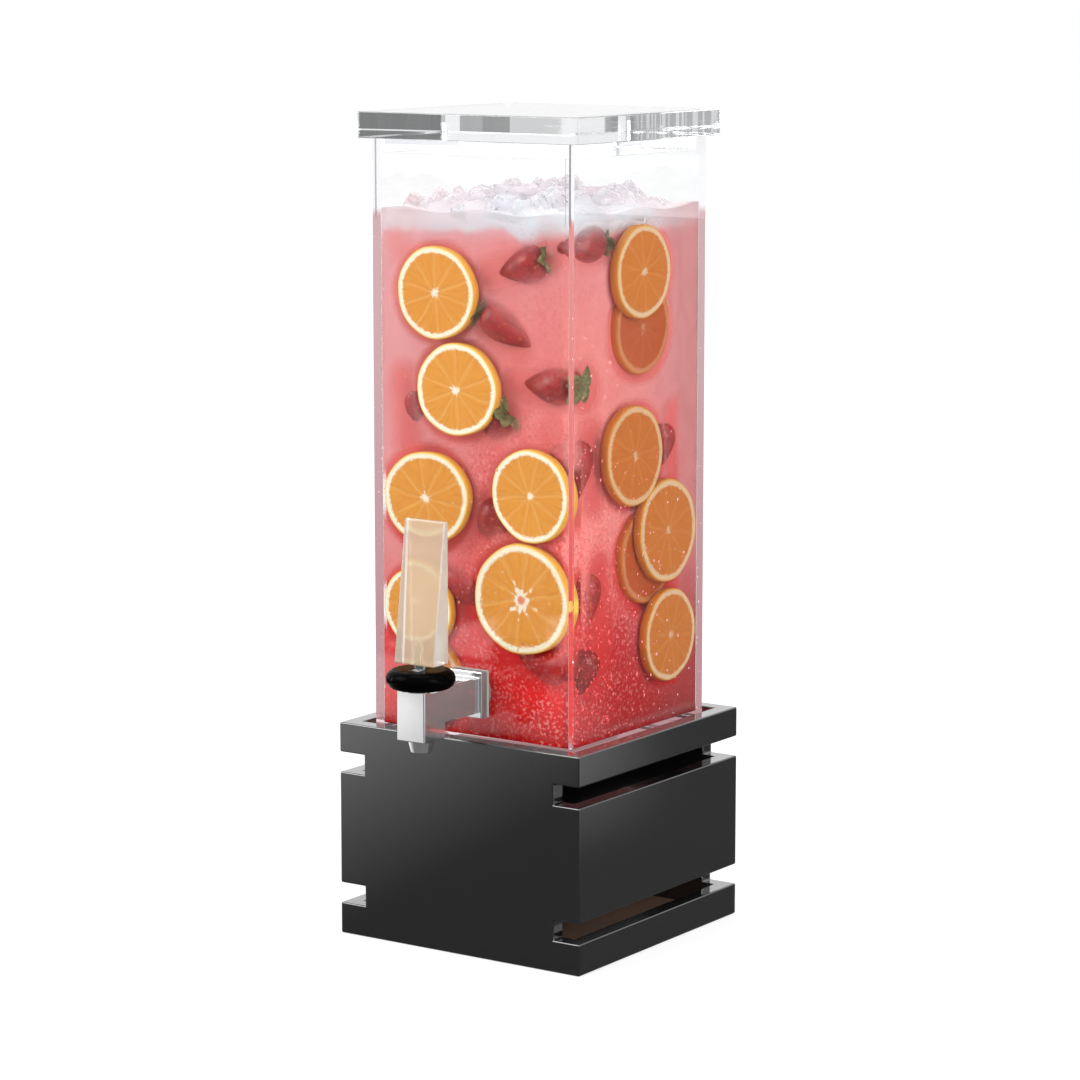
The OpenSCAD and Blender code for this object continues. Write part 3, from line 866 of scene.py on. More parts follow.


# %% [markdown]
# ## The drink's finish
# A cloudy fruit drink scatters most of the light near its skin and lets a blurred part of it through,
# so fruit that lies deeper looks soft. It is red at the bottom, pink above and white with frost at the
# top. Towards the left it is paler. The right wall has painted light and shade: lighter towards its front
# at mid height, darker towards its back and its bottom. Small bright and dark grains are painted highlights
# and dark rims of the drops on the wet wall, and near the front right corner the drink has a painted glow.
# Where fruit touches the wall, the skin's stored veil makes it clear.

# %% Colours of the drink
GLOW = 0.24
CLEAREST = 0.05
WAVER = 12 * MM
RIGHT_SKIN = 0.070
CHROME_SHARE = 0.9
CHROME_GREY = srgb(150, 150, 152)
finish = Finish("drink_red", {
    "Transmission Weight": 0.32, "Roughness": 0.32, "IOR": WATER_INDEX, "Specular IOR Level": 0.2,
    "Emission Strength": 1.0})
drink_red = finish.material
x, y, z = finish.axes()
height = (finish.cloud(16.0, 0.7) * WAVER + z).share(floor_top, DRINK_TOP + 10 * MM)
by_height = finish.ramp(height, [
    (0.0, srgb(230, 2, 2)), (0.18, srgb(232, 10, 9)), (0.4, srgb(240, 98, 92)), (0.76, srgb(234, 138, 136)),
    (0.925, srgb(232, 148, 150)), (0.945, srgb(230, 164, 168)), (0.963, srgb(222, 230, 237)),
    (1.0, srgb(232, 240, 246))], "EASE")

corner_way = x - y
low_part = z.step(0.16, 0.3)
mid_part = z.step(0.2, 0.3) * z.step(0.47, 0.4)
right_wall = x.step(RIGHT_SKIN, RIGHT_SKIN + 4 * MM)
near_corner = corner_way.step(0.02, 0.13) * 0.8 + 0.2
low_down = z.step(0.42, 0.3) * 0.75 + 0.25
wet = near_corner * low_down * (finish.cloud(38.0, 0.8) * 0.7 + 0.3)
drop_glint_and_rim = finish.noise(440.0, 1.5)
skin_colour_and_painted_light = finish.layers(
    by_height,
    (corner_way.step(0.12, 0.0) * low_part * 0.6, srgb(224, 186, 190)),
    # Painted light and shade on the right wall: lighter towards its front at mid height, darker towards its
    # back and its bottom.
    (right_wall * y.step(0.045, -0.02) * mid_part * 0.6, srgb(246, 156, 148)),
    (right_wall * y.step(0.0, 0.06) * 0.5, srgb(172, 104, 104)),
    (right_wall * z.step(0.27, 0.2) * 0.5, srgb(130, 34, 38)),
    (finish.cloud(55.0, 0.5) * low_part * 0.2, srgb(250, 190, 188)),
    # Painted highlights and dark rims of the condensation drops, as bright and dark grains where drops
    # gather.
    (drop_glint_and_rim.step(0.55, 0.65) * wet * 0.55, srgb(255, 200, 196)),
    (drop_glint_and_rim.step(0.44, 0.35) * wet * 0.5, srgb(128, 14, 18)))

# Painted glow: the drink gives off its own colour near the front right corner, strongest low down and fading
# out towards the top, except in chrome.
glowing = corner_way.step(0.09, 0.155) * z.step(0.48, 0.2) * (finish.mirrored() * -GLOW + GLOW)
finish.feed("Emission Color", finish.blend(glowing, BLACK, skin_colour_and_painted_light))
in_chrome = finish.mirrored() * y.step(-0.070, -0.075) * CHROME_SHARE
finish.feed("Base Color", finish.blend(in_chrome, skin_colour_and_painted_light, CHROME_GREY))
finish.feed("Alpha", finish.stored("veil") * (1.0 - CLEAREST) + CLEAREST)
finish.let_lamps_through((0.9, 0.68, 0.64, 1))
print("drink level:", DRINK_TOP)


# %% [markdown]
# ## The drink's shape
# The drink is a stack of square rings up to its level, then rings that close in across a rippled top.
# A plain core stands inside it, narrower so that fruit has room, and wider again at the three corners
# away from the front right one, where no fruit needs it.

# %% Rings of the drink and of its core
DRINK_GAP = 0.25 * MM
WALL_STEPS = 64
SIDE_ROWS = 140
TOP_ROWS = 14
RIPPLE = 1.6 * MM
RIPPLE_POWER = 40
CORE_SHARE, CORE_WIDER = 64 / 76, 10.5 / 76
CORE_DROP = 6 * MM
CORE_EVERY = 6
AWAY, AWAY_FADE = 0.06, 0.03
CORNER, CORNER_FADE = 0.045, 0.02
drink_half = inner - DRINK_GAP


def ripples(x, y):
    """Waves on the drink: sin(95 x + 1) times cos(80 y)."""
    return RIPPLE * np.sin(x * 95 + 1) * np.cos(y * 80)


step = np.linspace(-1, 1, WALL_STEPS) * (drink_half - 0.1 * MM)
one_side = np.stack([step, np.full(WALL_STEPS, -drink_half)], axis=-1)
quarter = np.array([[0.0, -1.0], [1.0, 0.0]])
outline = np.concatenate([one_side @ np.linalg.matrix_power(quarter, k).T for k in range(4)])
side_rows = np.linspace(floor_top + 0.4 * MM, DRINK_TOP, SIDE_ROWS)[:, None]
side_z = side_rows + ripples(*outline.T) * (side_rows / DRINK_TOP) ** RIPPLE_POWER
sides = np.concatenate([np.broadcast_to(outline, (*side_z.shape, 2)), side_z[..., None]], axis=-1)
top_xy = outline[None] * np.linspace(0.97, 0.05, TOP_ROWS)[:, None, None]
top_z = DRINK_TOP + ripples(top_xy[..., 0], top_xy[..., 1])
drink_points = np.concatenate([sides, np.concatenate([top_xy, top_z[..., None]], axis=-1)])

from_right_front = np.clip((AWAY - outline[:, 0] + outline[:, 1]) / AWAY_FADE, 0, 1)
at_corner = np.clip((np.abs(outline).min(axis=1) - CORNER) / CORNER_FADE, 0, 1)
core_scale = CORE_SHARE + CORE_WIDER * from_right_front * at_corner
core_shrink = np.stack([core_scale, core_scale, np.ones(len(outline))], axis=-1)
core_rings = np.concatenate([sides[::CORE_EVERY], sides[-1:]]) * core_shrink - np.array([0, 0, CORE_DROP])
core_rings[..., 2] = np.maximum(core_rings[..., 2], floor_top + 1 * MM)
print("drink points:", drink_points.shape[0] * drink_points.shape[1])


# %% [markdown]
# ## Orange slices
# Round slices press against the walls, and a few lie one slice deeper. A slice is a stack of rings from
# the middle of its face, over the flesh, the pith and the round rind, to the middle of its back. Its UV
# map holds the place on the slice, from which the finish works out segments, pith and rind.

# %% Places of the slices
rng = np.random.default_rng(7)
SLICE_AROUND = 72
SLICE_THICK = 6.5 * MM
SLICE_GAP = 0.06 * MM
RIPE_SPREAD, RIGHT_WALL_SHADE, DEEPER_SHADE = 0.15, 0.65, 0.25
LARGE_RADIUS, LARGE_STAR = 38, 0.34
STAR_SIZES = (0.11, 0.17)
# Degrees from the front wall to each wall
wall_turns = {"front": 0, "right": 90, "back": 180, "left": 270}


def wall_spin(wall):
    """The turn about Z that takes the front wall to this wall: rows (cos a, -sin a) and (sin a, cos a)."""
    a = math.radians(wall_turns[wall])
    return np.array([[math.cos(a), -math.sin(a), 0], [math.sin(a), math.cos(a), 0], [0, 0, 1]])


def slice_shape(radius_x, radius_z, seed):
    """Rings of a slice in its own plane: radius times a share, with a slow waver, against their depth."""
    share = np.array([0.02, 0.06, 0.15, 0.3, 0.45, 0.6, 0.72, 0.82, 0.875, 0.9, 0.93, 0.965, 0.985, 1.0, 1.0,
                      0.985, 0.965, 0.9, 0.5, 0.02])[:, None]
    depth = np.array([0.12, 0.11, 0.09, 0.08, 0.08, 0.08, 0.08, 0.08, 0.07, 0.04, 0.02, 0.03, 0.2, 0.9,
                      5.6, 6.1, 6.4, 6.5, 6.5, 6.5]) * MM
    a = bearings(SLICE_AROUND)
    waver = 1 + 0.012 * np.sin(2 * a + seed) + 0.008 * np.sin(3 * a + 2 * seed)
    waver = waver + 0.006 * np.sin(7 * a + 5 * seed)
    x = share * radius_x * waver * np.cos(a)
    z = share * radius_z * waver * np.sin(a)
    plate = np.stack([x, np.repeat(depth[:, None], SLICE_AROUND, axis=1), z], axis=-1)
    flat_place = np.stack([share * np.cos(a), share * np.sin(a)], axis=-1)
    return plate, flat_place.reshape(-1, 2)


# Wall, place along the wall and height in mm, radii in mm, depth behind the wall in mm
slice_list = [
    ("front", -31.8, 449.3, 32.2, 31.2, 0), ("front", -14.6, 384.8, 32.8, 31.8, 0),
    ("front", -40.5, 309.0, 35.5, 32.0, 0), ("front", 45.4, 317.2, 31.0, 31.6, 0),
    ("front", 38.4, 246.4, 38.2, 38.0, 0), ("front", -48.0, 232.0, 28.5, 28.5, 0),
    ("front", -46.0, 181.0, 29.5, 29.0, 7.2), ("right", 8.0, 462.8, 33.0, 32.2, 0),
    ("right", 18.0, 424.0, 33.0, 32.0, 7.2), ("right", -2.0, 338.7, 34.5, 34.6, 0),
    ("right", 40.2, 282.2, 35.8, 36.0, 0), ("right", 25.0, 266.0, 33.0, 33.0, 7.2),
    ("right", 44.0, 208.3, 31.5, 32.8, 0), ("back", -30.0, 420.0, 32.0, 32.0, 0),
    ("back", 4.0, 346.0, 33.0, 33.0, 0), ("back", -20.0, 270.0, 34.0, 34.0, 0),
    ("back", 38.0, 225.0, 31.0, 31.0, 0), ("left", 25.0, 440.0, 32.0, 32.0, 0),
    ("left", 18.0, 371.0, 33.0, 33.0, 0), ("left", 30.0, 300.0, 32.0, 32.0, 0),
    ("left", -25.0, 228.0, 34.0, 34.0, 0),
]
plates, places, traits, discs = [], [], [], []
for wall, along, high, radius_x, radius_z, behind in slice_list:
    seed = rng.uniform(0, 6.28)
    plate, flat_place = slice_shape(radius_x * MM, radius_z * MM, seed)
    flip = -1 if wall in ("back", "left") else 1
    spin = wall_spin(wall)
    centre = np.array([flip * along * MM, -inner + SLICE_GAP + behind * MM, high * MM])
    plates.append((plate + centre) @ spin.T)
    places.append(flat_place)
    # Tone and painted shade: a random tone, plus painted shade on the right wall's slices and on deeper ones.
    tone_and_shade = rng.uniform(0.0, RIPE_SPREAD)
    tone_and_shade += RIGHT_WALL_SHADE if wall == "right" else 0.0
    tone_and_shade += DEEPER_SHADE if behind else 0.0
    star = LARGE_STAR if radius_x > LARGE_RADIUS else rng.uniform(*STAR_SIZES)
    traits.append(np.broadcast_to([seed, tone_and_shade, star], (len(flat_place), 3)))
    discs.append((centre @ spin.T, spin @ np.array([0, 1, 0]), radius_x * MM, behind * MM))
print("slices:", len(slice_list))


# %% [markdown]
# ## The slices' finish
# The bearing round the slice, times the number of segments, gives the thin skins between segments. The
# distance from the middle gives the white star, the flesh, the pith and the rind. Noise frays their
# borders, and each slice's stored numbers turn it, darken it and size its star. The darkening is a random
# tone plus painted shade on the slices of the right wall and on those that lie deeper.

# %% Flesh, pith and rind
SEGMENTS = 10
finish = Finish("orange_flesh", {"Roughness": 0.38, "Specular IOR Level": 0.3})
u, v = [axis * 2.0 - 1.0 for axis in finish.axes(finish.value("UVMap", 0, uv_map="slice_place"))[:2]]
far = finish.maths("SQRT", u * u + v * v)
juice = finish.noise(260.0, 3.0)
swing = finish.noise(60.0, 1.0) * 0.22 + finish.stored("slice_seed")
bent = finish.maths("ARCTAN2", v, u) + swing
part = finish.maths("FRACT", bent * (SEGMENTS / (2 * math.pi)))
near_skin = 0.5 - abs(part - 0.5)
membrane = (near_skin * far).step(0.09, 0.0)
ray_place = finish.value("CombineXYZ", 0, {"X": bent * 14.0, "Y": far * 1.6})
fray = finish.noise(700.0) - 0.5
ragged = fray * 0.12 + (juice * 0.05 + far)
star_size = finish.stored("slice_star")
lump = finish.noise(230.0) * 2.4 - 0.3
arms = (0.5 - near_skin) * 0.7 + 0.45
in_star = (ragged - star_size * arms * lump).step(0.06, -0.02)
hollow = (fray * 0.1 + far).step(0.1, 0.05) * star_size.step(0.2, 0.3)
coloured = finish.layers(
    srgb(214, 120, 24),
    (finish.noise(1.0, 2.0, ray_place), srgb(240, 166, 62)),
    (juice * 0.3, srgb(246, 190, 96)),
    (membrane * 0.15, srgb(252, 214, 140)),
    (in_star, srgb(255, 242, 220)),
    (hollow, srgb(236, 140, 112)),
    (ragged.step(0.865, 0.915), srgb(255, 248, 222)),
    (far.step(0.935, 0.985), srgb(248, 204, 84)))
# Darkens each slice by its stored tone and painted shade.
toned_and_shaded = finish.blend(finish.stored("slice_tone_and_shade"), coloured, srgb(206, 150, 96), "MULTIPLY")
finish.feed("Base Color", toned_and_shaded)
finish.raise_surface(juice - membrane, 0.25, 0.0006)

orange_slices = new_piece("orange_slices", *many_shells(np.stack(plates)), finish.material)
store_uv(orange_slices, "slice_place", np.concatenate(places))
for name, values in zip(("slice_seed", "slice_tone_and_shade", "slice_star"), np.concatenate(traits).T):
    store_values(orange_slices, name, values)
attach(orange_slices, "container")
print("slice faces:", len(orange_slices.data.polygons))


# %% [markdown]
# ## Strawberries
# Whole berries hang in the drink behind its skin. A berry is a turned profile with rows of small pits
# for its seeds, and its leaves are narrow curved blades round the stalk.

# %% Places of the berries and leaves
BERRY_AROUND = 40
BERRY_ROWS = 30
LEAF_THICK = 0.35 * MM
SKIN_GAP = 0.4 * MM


def berry_shape(length, radius):
    """A turned profile: radius times a drop-shaped curve of t, with pits where cos 12a sin 9 pi t peaks."""
    t = np.linspace(0.02, 0.99, BERRY_ROWS)[:, None]
    a = bearings(BERRY_AROUND)[None, :]
    profile = np.sin(np.pi * np.clip(t, 0, 1) ** 0.62) ** 0.7 * (1 - 0.25 * t)
    pits = np.clip(np.cos(12 * a + np.pi * np.floor(9 * t)) * np.abs(np.sin(9 * np.pi * t)), 0, 1) ** 3
    r = radius * profile * (1 - 0.05 * pits)
    return np.stack([r * np.cos(a), r * np.sin(a), np.repeat(length * t, BERRY_AROUND, axis=1)], axis=-1)


def leaf_stacks(radius, leaves, seed):
    """Blades from the stalk outwards: each is a stack of thin rings that arches over the berry."""
    k = np.arange(leaves)[:, None, None]
    t = np.linspace(0, 1, 7)[None, :, None]
    s = np.array([-1, -0.5, 0, 0.5, 1, 1, 0.5, 0, -0.5, -1])[None, None, :]
    below = np.repeat([0.0, LEAF_THICK], 5)
    a = 2 * np.pi * k / leaves + 0.25 * np.sin(seed + 3 * k)
    out = radius * (0.95 + 0.2 * np.sin(2 * seed + 5 * k)) * t
    across = 0.34 * radius * np.sin(np.pi * (0.12 + 0.86 * t)) ** 0.8 * s
    high = radius * (-0.12 + 0.28 * np.sin(2.4 * t) + 0.06 * np.abs(s)) + 0 * k
    return np.stack([out * np.cos(a) - across * np.sin(a), out * np.sin(a) + across * np.cos(a),
                     below - high], axis=-1)


def placed(points, centre, tip_way, middle):
    """Points turned so that +Z runs along tip_way, with the point at height middle put on centre."""
    turn = Vector(tip_way).to_track_quat("Z", "Y").to_matrix()
    shifted = points - np.array([0, 0, middle])
    return shifted @ np.array(turn).T + np.asarray(centre) * MM


# Wall, place along it, height and depth behind the skin in mm, way to the tip (along, in, up), length and
# radius in mm, number of leaves
berry_list = [
    ("front", 31, 469, 0, (-0.9, 0.0, -0.25), 40, 14, 7), ("front", 20, 427, 0, (0.85, 0.0, -0.5), 44, 14, 7),
    ("front", 52, 391, 0, (-0.98, 0.0, 0.02), 40, 14, 7), ("front", -56, 364, 2, (0.1, 0.0, -1.0), 42, 13, 0),
    ("front", 6, 360, 3, (-0.7, 0.4, -0.5), 40, 14, 7), ("right", -56, 334, 0, (0.1, 0.0, -1.0), 42, 14, 0),
    ("front", 4, 294, 1, (-0.6, 0.2, -0.6), 38, 15, 0), ("right", -46, 244, 0, (0.0, 0.0, -1.0), 38, 11, 0),
    ("right", 46, 338, 0, (0.0, 0.1, -1.0), 36, 12, 0), ("right", -48, 192, 1, (-0.2, 0.2, -0.9), 40, 13, 0),
    ("right", -50, 484, 0, (-1.0, 0.0, -0.05), 40, 14, 7),
    ("front", -58, 476, 4, (-0.5, 0.1, 0.75), 36, 14, 0),
    ("front", -16, 247, 2, (0.7, 0.0, -0.5), 38, 13, 0), ("front", 46, 203, 2, (-0.95, 0.0, 0.15), 46, 15, 0),
    ("back", 0, 440, 1, (0.7, 0.0, -0.5), 40, 14, 7), ("back", -40, 330, 1, (-0.4, 0.0, -0.8), 40, 14, 7),
    ("back", 30, 240, 2, (0.6, 0.1, 0.6), 38, 14, 7), ("left", 20, 400, 1, (0.5, 0.0, -0.8), 40, 14, 7),
    ("left", -10, 290, 2, (-0.6, 0.0, 0.7), 40, 14, 7),
]
berries, leaves, berry_lines = [], [], []
for number, (wall, along, high, behind, tip_way, length, radius, blade_count) in enumerate(berry_list):
    spin = wall_spin(wall)
    where = ((along, 0, high), tip_way, length * MM / 2)
    berry = placed(berry_shape(length * MM, radius * MM), *where)
    push = -drink_half + SKIN_GAP + behind * MM - berry[..., 1].min()
    over = np.abs(berry[..., 0]).max() - (drink_half - SKIN_GAP)
    shift = np.array([-math.copysign(max(over, 0), along), push, 0])
    berries.append((berry + shift) @ spin.T)
    middle = (np.array([along, 0, high]) * MM + shift) @ spin.T
    way = np.array(tip_way) / np.linalg.norm(tip_way) @ spin.T
    berry_lines.append((middle, way, length * MM, radius * MM))
    blades = placed(leaf_stacks(radius * MM, blade_count, number), *where) + shift
    blades[..., :2] = np.clip(blades[..., :2], -drink_half + SKIN_GAP, drink_half - SKIN_GAP)
    leaves.append(blades @ spin.T)
print("berries:", len(berries))


# %% [markdown]
# ## The drink's veil
# The drink hides what lies behind its skin. Each point of the skin stores a veil: 0 where fruit touches
# it, and 1 from FADE away, by the curve s * s * (3 - 2 s). A berry counts as a thick line from stalk to
# tip. A slice counts as a disc that is drawn out the way a person in front of the corner looks, so that
# its peel shows too. The right wall's back end keeps its veil.

# %% Veil over the fruit
FADE = 13 * MM
DISC_REACH = 9 * MM
STALK_SHARE, TIP_SHARE, BERRY_REACH = 0.62, 1.05, 0.85
DEEP_SHARE, ASIDE_SHARE = 0.2, 2.0
SIGHT = np.array([-0.559, 0.814, 0.0])
BACK_END, BACK_FADE = 0.046, 0.010
skin = drink_points.reshape(-1, 3)
nearest = np.full(len(skin), 1.0)
for middle, way, length, radius in berry_lines:
    stalk = middle - way * length * STALK_SHARE
    run = np.clip((skin - stalk) @ way, 0, length * TIP_SHARE)[:, None]
    gap = np.linalg.norm(skin - stalk - run * way, axis=1) - radius * BERRY_REACH
    nearest = np.minimum(nearest, gap)
for centre, inward, radius, behind in discs:
    facing = SIGHT @ inward
    lean = -(SIGHT - facing * inward) / facing if facing > 0 else 0.001 * np.roll(inward, 1)
    start = centre + lean * behind
    run = np.clip((skin - start) @ lean / (lean @ lean), 0, SLICE_THICK)[:, None]
    offset = skin - start - run * lean
    deep = np.abs(offset @ inward)
    aside = np.linalg.norm(offset - (offset @ inward)[:, None] * inward, axis=1)
    gap = np.hypot(DEEP_SHARE * deep, ASIDE_SHARE * np.maximum(aside - radius, 0))
    nearest = np.minimum(nearest, gap + np.where(deep < DISC_REACH, 0, FADE))
back_end = np.where(skin[:, 0] > RIGHT_SKIN, skin[:, 1] - BACK_END, 0) / BACK_FADE
nearest = np.maximum(nearest, FADE * np.clip(back_end, 0, 1))
share = np.clip(nearest / FADE, 0, 1)
veil_values = share * share * (3 - 2 * share)
print("clear share of the skin:", round(float((veil_values < 0.5).mean()), 3))


# %% [markdown]
# ## Drink and berries in place
# The core is plain red below, pink above and white at its top, and keeps the background from showing
# through the clear parts of the skin. Both turn grey where chrome mirrors them.

# %% Core, drink, berries and leaves
CORE_WAVER = 50 * MM
finish = Finish("core_red", {"Roughness": 0.6, "Specular IOR Level": 0.1})
_, y, z = finish.axes()
finish.feed("Base Color", finish.layers(
    srgb(220, 26, 26),
    ((finish.cloud(14.0, 0.8) * CORE_WAVER + z).step(0.16, 0.5), srgb(240, 146, 146)),
    (z.step(0.486, 0.496), srgb(236, 242, 248)),
    (finish.mirrored() * y.step(-0.054, -0.058) * CHROME_SHARE, CHROME_GREY)))
drink_core = new_piece("drink_core", *capped_stack(core_rings), finish.material)
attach(drink_core, "container")

drink = new_piece("drink", *capped_stack(drink_points), drink_red)
upright = np.abs(face_values(drink, "normal", 3)[:, 2]) < 0.1
drink.data.polygons.foreach_set("use_smooth", ~upright)
store_values(drink, "veil", veil_values)
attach(drink, "container")

finish = Finish("berry_red", {"Roughness": 0.35})
finish.feed("Base Color", finish.layers(
    srgb(136, 12, 17),
    (finish.cloud(90.0), srgb(172, 24, 26)),
    (finish.noise(500.0).step(0.62, 0.7), srgb(190, 110, 60))))
strawberries = new_piece("strawberries", *many_shells(np.stack(berries)), finish.material)
finish = Finish("leaf_green", {"Roughness": 0.5})
finish.feed("Base Color", finish.blend(finish.cloud(160.0), srgb(78, 100, 52), srgb(128, 144, 88)))
strawberry_leaves = new_piece("strawberry_leaves", *many_shells(np.concatenate(leaves)), finish.material)
for piece in (strawberries, strawberry_leaves):
    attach(piece, "container")
print("drink faces:", len(drink.data.polygons), "leaf points:", len(strawberry_leaves.data.vertices))


# %% [markdown]
# ## Ice
# Chunky cubes float in a flat heap over the drink. Each is a rounded box: a sphere's directions pushed
# out to a soft cube by the sum of their ninth powers, then stretched, turned and dropped in its place.

# %% Ice cubes
CUBE_POWER = 9
CUBE_ROWS, CUBE_AROUND = 14, 24
POLE_GAP = 0.12
ICE_SIDE = 6
ICE_SPREAD = 0.060
ICE_JITTER = 4
ICE_SIZES = (11.0, 15.5)
ICE_TILT = 0.9
ICE_LIFT = 3
HEAP_SQUARE = 0.0085
HEAP_LOW, HEAP_RISE = -13 * MM, 10 * MM


def cube_shape(sizes, turn):
    """Directions d of a sphere over (sum d^9)^(1/9) give a soft cube, scaled by sizes, dented and turned."""
    lat = np.linspace(-np.pi / 2 + POLE_GAP, np.pi / 2 - POLE_GAP, CUBE_ROWS)[:, None]
    lon = bearings(CUBE_AROUND)[None, :]
    d = np.stack([np.cos(lat) * np.cos(lon), np.cos(lat) * np.sin(lon), np.sin(lat) + 0 * lon], axis=-1)
    soft = d / (np.abs(d) ** CUBE_POWER).sum(-1, keepdims=True) ** (1 / CUBE_POWER)
    dent = 1 + 0.09 * np.sin(5 * d[..., :1] + 4 * d[..., 1:2] + turn.x * 9)
    dent = dent + 0.08 * np.cos(6 * d[..., 2:] + turn.y * 7)
    return (soft * dent * sizes) @ np.array(turn.to_matrix()).T


ice_rng = np.random.default_rng(11)
ice_parts = []
spacing = np.linspace(-ICE_SPREAD, ICE_SPREAD, ICE_SIDE)
for gx in spacing:
    for gy in spacing:
        jitter = ice_rng.uniform(-ICE_JITTER, ICE_JITTER, 2) * MM
        sizes = ice_rng.uniform(*ICE_SIZES, 3) * MM
        tilt_x, tilt_y, tilt_z = ice_rng.uniform(-ICE_TILT, ICE_TILT, 3)
        turn = Matrix.Rotation(tilt_x, 3, "X") @ Matrix.Rotation(tilt_y, 3, "Y")
        turn = turn @ Matrix.Rotation(tilt_z * 3, 3, "Z")
        heap = 1 - ((gx * gx + gy * gy) / HEAP_SQUARE) ** 2
        high = DRINK_TOP + HEAP_LOW + HEAP_RISE * heap + ice_rng.uniform(-ICE_LIFT, ICE_LIFT) * MM
        cube = cube_shape(sizes, turn.to_quaternion())
        centre = np.array([gx + jitter[0], gy + jitter[1], high])
        limit = inner - 1 * MM - np.abs(cube[..., :2]).max(axis=(0, 1))
        centre[:2] = np.clip(centre[:2], -limit, limit)
        ice_parts.append(cube + centre)

finish = Finish("ice_clear", {"Transmission Weight": 0.94, "IOR": ICE_INDEX})
frosty = finish.cloud(70.0)
finish.feed("Base Color", finish.blend(frosty, (0.95, 0.975, 0.985, 1), (0.88, 0.915, 0.94, 1)))
finish.feed("Roughness", frosty * 0.08)
finish.let_lamps_through((0.95, 0.95, 0.96, 1))
ice_cubes = new_piece("ice_cubes", *many_shells(np.stack(ice_parts)), finish.material)
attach(ice_cubes, "container")
print("ice cubes:", len(ice_parts))


# %% [markdown]
# ## Condensation
# A cold container gathers drops on its outside, most of all low down and near the front right corner.
# Each drop is a small dome of four rings, sized at random, standing on one of the four walls.

# %% Drops
drop_rng = np.random.default_rng(23)
DROPS = 1200
DROP_AROUND = 10
DROP_LOW, DROP_HIGH = 0.153, 0.47
WALL_SHARES = [0.36, 0.36, 0.14, 0.14]
GATHERED_SHARE = 0.55
LOW_LEAN = (1.0, 2.6)
SMALL_LEAN = (1.1, 4.0)
SMALLEST, SIZE_SPREAD = 0.4, 0.9
TALLER = 1.1
SUNK = 0.05 * MM
TAP_HALF_WIDTH, TAP_HALF_HEIGHT = 18 * MM, 20 * MM
reach = outer - 3 * MM
wall_pick = drop_rng.choice(4, DROPS, p=WALL_SHARES)
on_front, on_right = wall_pick == 0, wall_pick == 1
along = drop_rng.uniform(-reach, reach, DROPS)
up = DROP_LOW + (DROP_HIGH - DROP_LOW) * drop_rng.beta(*LOW_LEAN, DROPS)
size = (SMALLEST + SIZE_SPREAD * drop_rng.beta(*SMALL_LEAN, DROPS)) * MM
gathered = on_front & (drop_rng.uniform(size=DROPS) < GATHERED_SHARE)
along = np.where(gathered, drop_rng.normal(30, 22, DROPS).clip(-70, 78) * MM, along)
along = np.where(on_right, drop_rng.beta(*LOW_LEAN, DROPS) * 2 * reach - reach, along)
up = np.where(gathered, drop_rng.normal(205, 32, DROPS).clip(154, 330) * MM, up)
at_tap = on_front & (np.abs(along) < TAP_HALF_WIDTH) & (np.abs(up - shank_z) < TAP_HALF_HEIGHT)
wall_pick, along, up, size = (values[~at_tap][:, None, None] for values in (wall_pick, along, up, size))
a = bearings(DROP_AROUND)
dome_r = size * np.array([1.0, 0.86, 0.5, 0.1])[None, :, None]
dome_out = size * np.array([0.0, 0.42, 0.68, 0.76])[None, :, None]
dx = dome_r * np.cos(a) + along
dz = dome_r * np.sin(a) * TALLER + up
dy = -outer + SUNK - dome_out + 0 * dx
turn = wall_pick * np.pi / 2
domes = np.stack([dx * np.cos(turn) - dy * np.sin(turn), dx * np.sin(turn) + dy * np.cos(turn), dz], axis=-1)
condensation = new_piece("condensation", *many_shells(domes), clear_water)
condensation.data.set_sharp_from_angle(angle=math.radians(60))
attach(condensation, "container")
print("drops:", len(domes))


# %% [markdown]
# ## Floor
# The floor is white to the camera and through clear pieces, and keeps a soft shadow. What gloss and
# chrome mirror of it is darker, which stands in for a dim room round the light: bright far to the left,
# with a patch for the tap, and bright again at the right and behind.

# %% Floor
FLOOR_HALF = 6
FLOOR_DROP = 0.0003
DARKEST = 0.11
LEFT_REACH, LEFT_MOST = 0.43, 1.05
TAP_PATCH_X, TAP_PATCH_Y = -0.62, -1.05
LEFT_BRIGHT, TAP_BRIGHT, RIGHT_BRIGHT = 1.25, 1.05, 1.2
floor_white = bpy.data.materials.new("floor_white")
floor_white.use_nodes = True
tree = Tree(floor_white.node_tree)
x, y, _ = tree.axes()
far = tree.maths("SQRT", x * x + y * y)
to_left = x * -1.0 + y * 0.2
left_ramp = tree.maths("MINIMUM", to_left.or_more(0.0) * (1 / LEFT_REACH), LEFT_MOST)
left_level = left_ramp ** 1.5 * to_left.step(0.64, 0.5) * y.step(-0.93, -0.87) * LEFT_BRIGHT
tap_level = abs(x - TAP_PATCH_X).step(0.12, 0.08) * abs(y - TAP_PATCH_Y).step(0.13, 0.1) * TAP_BRIGHT
right_level = far.step(0.15, 1.0) * (y * -0.8 + x).step(-0.05, 0.2) * y.step(-0.35, -0.1) * RIGHT_BRIGHT
level = left_level.or_more(tap_level).or_more(right_level).or_more(DARKEST)

